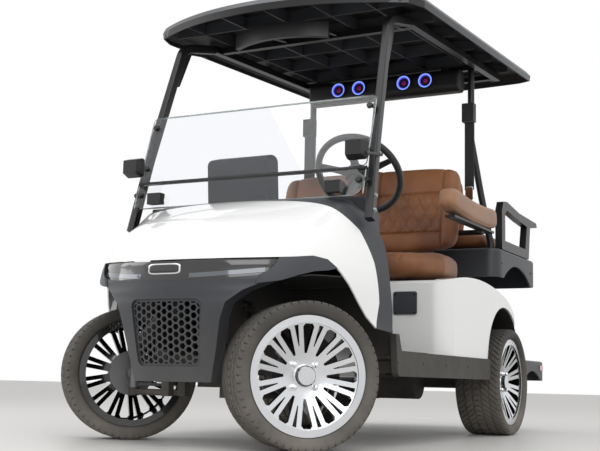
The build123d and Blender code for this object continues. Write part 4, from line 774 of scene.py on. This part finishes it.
rear_sheets = stuffed(0.453, 0.252, 0.0458, 0.030, 0.16, 0.020, (150, 90), rear_relief)
rear_pad = build("rear_cushion_leather",
                 laid(rear_sheets, place(0, 1.9885, 0.9273), (1, 0, 0), (0, 1, 0), (0, 0, 1)),
                 saddle, "flip_seat", 60)
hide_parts("rear_cushion")
rear_up = np.array((0, -0.09, 1)) / np.hypot(0.09, 1)
rear_out = np.array((0, 1, 0.09)) / np.hypot(0.09, 1)
rear_back_middle = place(0, 1.556, 0.905) + 0.150 * rear_up + 0.035 * rear_out
rear_back_sheets = stuffed(0.400, 0.150, 0.0355, 0.028, 0.16, 0.018, (140, 70), rear_relief)
rear_back_pad = build("rear_back_leather",
                      laid(rear_back_sheets, rear_back_middle, (-1, 0, 0), rear_up, rear_out),
                      saddle, "cart", 60)
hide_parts("rear_seat_back")

# %% [markdown]
# The armrests are long pads with a soft square section, carried along a shallow arc. The section shrinks to
# nothing over the last few centimetres at each end, which closes it in a round nose.

# %% Armrests


def arc_through(low, middle, high, count):
    """Points on the parabola through three (behind, up) points, which is close to the pad's shallow arc."""
    behind = np.linspace(low[0], high[0], count)
    curve = np.polyfit([low[0], middle[0], high[0]], [low[1], middle[1], high[1]], 2)
    return behind, np.polyval(curve, behind)


ARM_POINTS = 90
arm_arc = arc_through((0.907, 0.994), (1.130, 0.974), (1.518, 0.984), ARM_POINTS)
even = np.linspace(-1, 1, ARM_POINTS)
s = even * (1.45 - 0.45 * even ** 2)
behind = np.interp(s, even, arm_arc[0])
up = np.interp(behind, *arm_arc)
close = np.clip(1 - np.abs(s) ** 16, 0, 1) ** (1 / 2.4)
pads = []
for side in (-1, 1):
    path = np.stack([np.full(ARM_POINTS, side * 0.553), FRONT_AXLE + behind, up], 1)
    points, faces = carried(path, 0.041, 0.046, close, 4.0, 64)
    centre = path[:, None]
    turn_round = np.linspace(0, 2 * pi, 64, endpoint=False)
    seam = 1 - 0.035 * sum(np.exp(-((turn_round - t) / 0.05) ** 2) for t in (pi / 4, 3 * pi / 4))
    pads.append((centre + (points - centre) * seam[None, :, None], faces))
arm_pads = build("armrest_leather", pads, tan, "cart", 60)
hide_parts("armrest_pads")

# %% [markdown]
# ## Glass, light and small hardware
# Clear acrylic shows mostly by its sawn edges, which gather light. A thin pale bead along each pane's outline
# paints that light on as a highlight: its near-white colour is painted light, with only a faint tint of the
# acrylic.

# %% Screen edges
SCREEN = ((0.196, 0.886), (0.226, 0.992), (0.318, 1.283))
beads = []
for low, high, gap in ((SCREEN[0], SCREEN[1], 0.004), (SCREEN[1], SCREEN[2], 0.006)):
    run = np.array(high) - np.array(low)
    run /= np.hypot(*run)
    foot, head = np.array(low) + run * gap * 0.5, np.array(high) - run * gap * 0.5
    corners = [(-0.497, *foot), (0.497, *foot), (0.497, *head), (-0.497, *head)]
    for one, two in zip(corners, corners[1:] + corners[:1]):
        t = np.linspace(0, 1, 12)[:, None]
        path = place(*one)[None] * (1 - t) + place(*two)[None] * t
        taper = np.clip(1 - np.abs(2 * t[:, 0] - 1) ** 30, 0, 1)
        slant = (1, 0, 0) if abs(one[0] - two[0]) < 0.1 else (0, 0, 1)
        beads.append(carried(path, 0.0024, 0.0024, taper, 2.0, 10, slant))
# the beads carry a painted highlight along each pane's edge
build("edge_highlight_beads", beads, painted_edge_highlight, "cart", 60)

# %% [markdown]
# The sound bar has four round drivers. Each is a shallow cone with a dust cap in the middle and a lit ring
# round it. The cone is one lathe profile, and the light's colour follows the distance from its middle.

# %% Speaker lights
SPEAKER = [(0.006, 0.0), (0.0045, 0.006), (-0.001, 0.010), (-0.008, 0.014), (-0.004, 0.021), (0.002, 0.027),
           (0.005, 0.030), (0.0062, 0.0325), (0.005, 0.035), (-0.010, 0.035), (-0.010, 0.0)]
cones, reaches = [], []
for across in (-0.232, -0.120, 0.120, 0.232):
    found = skin("sound_bar", place(across, 1.0, 1.678), (0, 1, 0))
    cones.append(turned(SPEAKER, found[0] - (0, 0.0005, 0), (0, -1, 0), 48))
    reaches.append(np.tile(np.array(SPEAKER)[None, :, 1] / 0.036, (48, 1)))
from_middle = np.concatenate([each.ravel() for each in reaches])
build("speaker_lights", cones, speaker_glow, "cart", 50, from_middle)

# %% [markdown]
# The retractor's belt ends in a steel tongue. The badge place on the front band is a plain rounded plate,
# left bare, that follows the bow of the band.

# %% Belt tongues and bare badge plate
tongues = []
for side in (-1, 1):
    tongue = stuffed(0.021, 0.036, 0.0022, 0.004, 0.0, 0.006, (24, 30))
    tongues += laid(tongue, place(side * 0.430, 1.579, 1.125), (1, 0, 0), (0, 0, 1), (0, 1, 0))
build("belt_tongues", tongues, chrome, "cart", 60)

band_low, band_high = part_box("light_band")
band_level = (band_low[2] + band_high[2]) / 2 - 0.004
spots = [skin("light_band", (across, -3.0, band_level), (0, 1, 0)) for across in (0.0, 0.05)]
print("band met at", [None if s is None else np.round(s[0], 4) for s in spots])
if spots[0] is not None:
    bow = 0.0 if spots[1] is None else (spots[1][0][1] - spots[0][0][1]) / 0.0025
    tilt = spots[0][1] / np.linalg.norm(spots[0][1])
    plate_up = np.cross(tilt, (1, 0, 0))
    plate_up /= np.linalg.norm(plate_up) * np.sign(plate_up[2])
    for name, width, height, proud, coating in (("badge_rim", 0.064, 0.0185, 0.0030, chrome),
                                                ("badge_face", 0.0605, 0.0152, 0.0042, band_black)):
        plate = stuffed(width, height, proud, 0.0035, 0.0, 0.004, (60, 24))
        grids = laid(plate, spots[0][0], (1, 0, 0), plate_up, tilt)
        grids = [(p + bow * p[..., :1] ** 2 * (0, 1, 0), f) for p, f in grids]
        build(name, grids, coating, "cart", 50)

# %% [markdown]
# Bolt heads and clip heads are small, but they say how a part is held: struts are bolted to the body, sills
# are screwed from below, and the panes are clamped with round plastic knobs.

# %% Bolts, screws and knobs
HEAD = [(-0.001, 0.0), (-0.001, 0.0098), (0.0012, 0.0098), (0.0014, 0.0078), (0.0062, 0.0076),
        (0.0068, 0.0066), (0.0068, 0.0)]
SCREW = [(-0.001, 0.0), (-0.001, 0.0062), (0.0012, 0.0058), (0.0026, 0.0034), (0.003, 0.0)]
KNOB = [(-0.001, 0.0), (-0.001, 0.012), (0.007, 0.0115), (0.0095, 0.009), (0.010, 0.0)]
heads, screws, knobs = [], [], []
for side in (-1, 1):
    for behind_axle, level in ((0.224, 0.835), (0.240, 0.890)):
        heads.append(("front_struts", place(side * 0.75, behind_axle, level), (-side, 0, 0), HEAD))
    for behind_axle in (0.33, 0.58, 0.83, 1.10):
        screws.append(("sills", place(side * 0.75, behind_axle, 0.300), (-side, 0, 0), SCREW))
    for level in (0.946, 1.060, 1.240):
        knobs.append(("windscreen", place(side * 0.476, -0.3, level), (0, 1, 0), KNOB))
    for across, level in ((0.351, 0.516), (0.435, 0.516), (0.351, 0.590), (0.435, 0.590)):
        if side > 0:
            screws.append(("charge_port", place(across, 0.5, level), (0, 1, 0), SCREW))
    for behind_axle in (1.70, 1.95, 2.20):
        screws.append(("rear_deck", place(side * 0.75, behind_axle, 0.80), (-side, 0, 0), SCREW))
for name, group, coating, hexagon in (("strut_bolts", heads, zinc, 6),
                                      ("trim_screws", screws, powder_black, None),
                                      ("screen_knobs", knobs, powder_black, None)):
    made = []
    for node, start, direction, profile in group:
        found = skin(node, start, direction)
        if found is not None:
            made.append(turned(profile, found[0], found[1], 24, hexagon))
    build(name, made, coating, "cart", 35)

# %% [markdown]
# The cabin floor is covered with a ribbed rubber mat. It is a very flat stuffed panel whose relief is a row
# of ribs.

# %% Floor mat
RIB_PITCH, RIB_HEIGHT = 0.022, 0.0012


def mat_relief(x, y):
    """Square ribs across the floor."""
    return RIB_HEIGHT * np.sign(np.sin(y * 2 * pi / RIB_PITCH))


mat_sheets = stuffed(0.52, 0.225, 0.0030, 0.006, 0.0, 0.010, (40, 260), mat_relief)
mat = laid(mat_sheets, place(0, 0.625, 0.3435), (1, 0, 0), (0, 1, 0), (0, 0, 1))
build("floor_mat", mat, plain_rubber, "cart", 30)
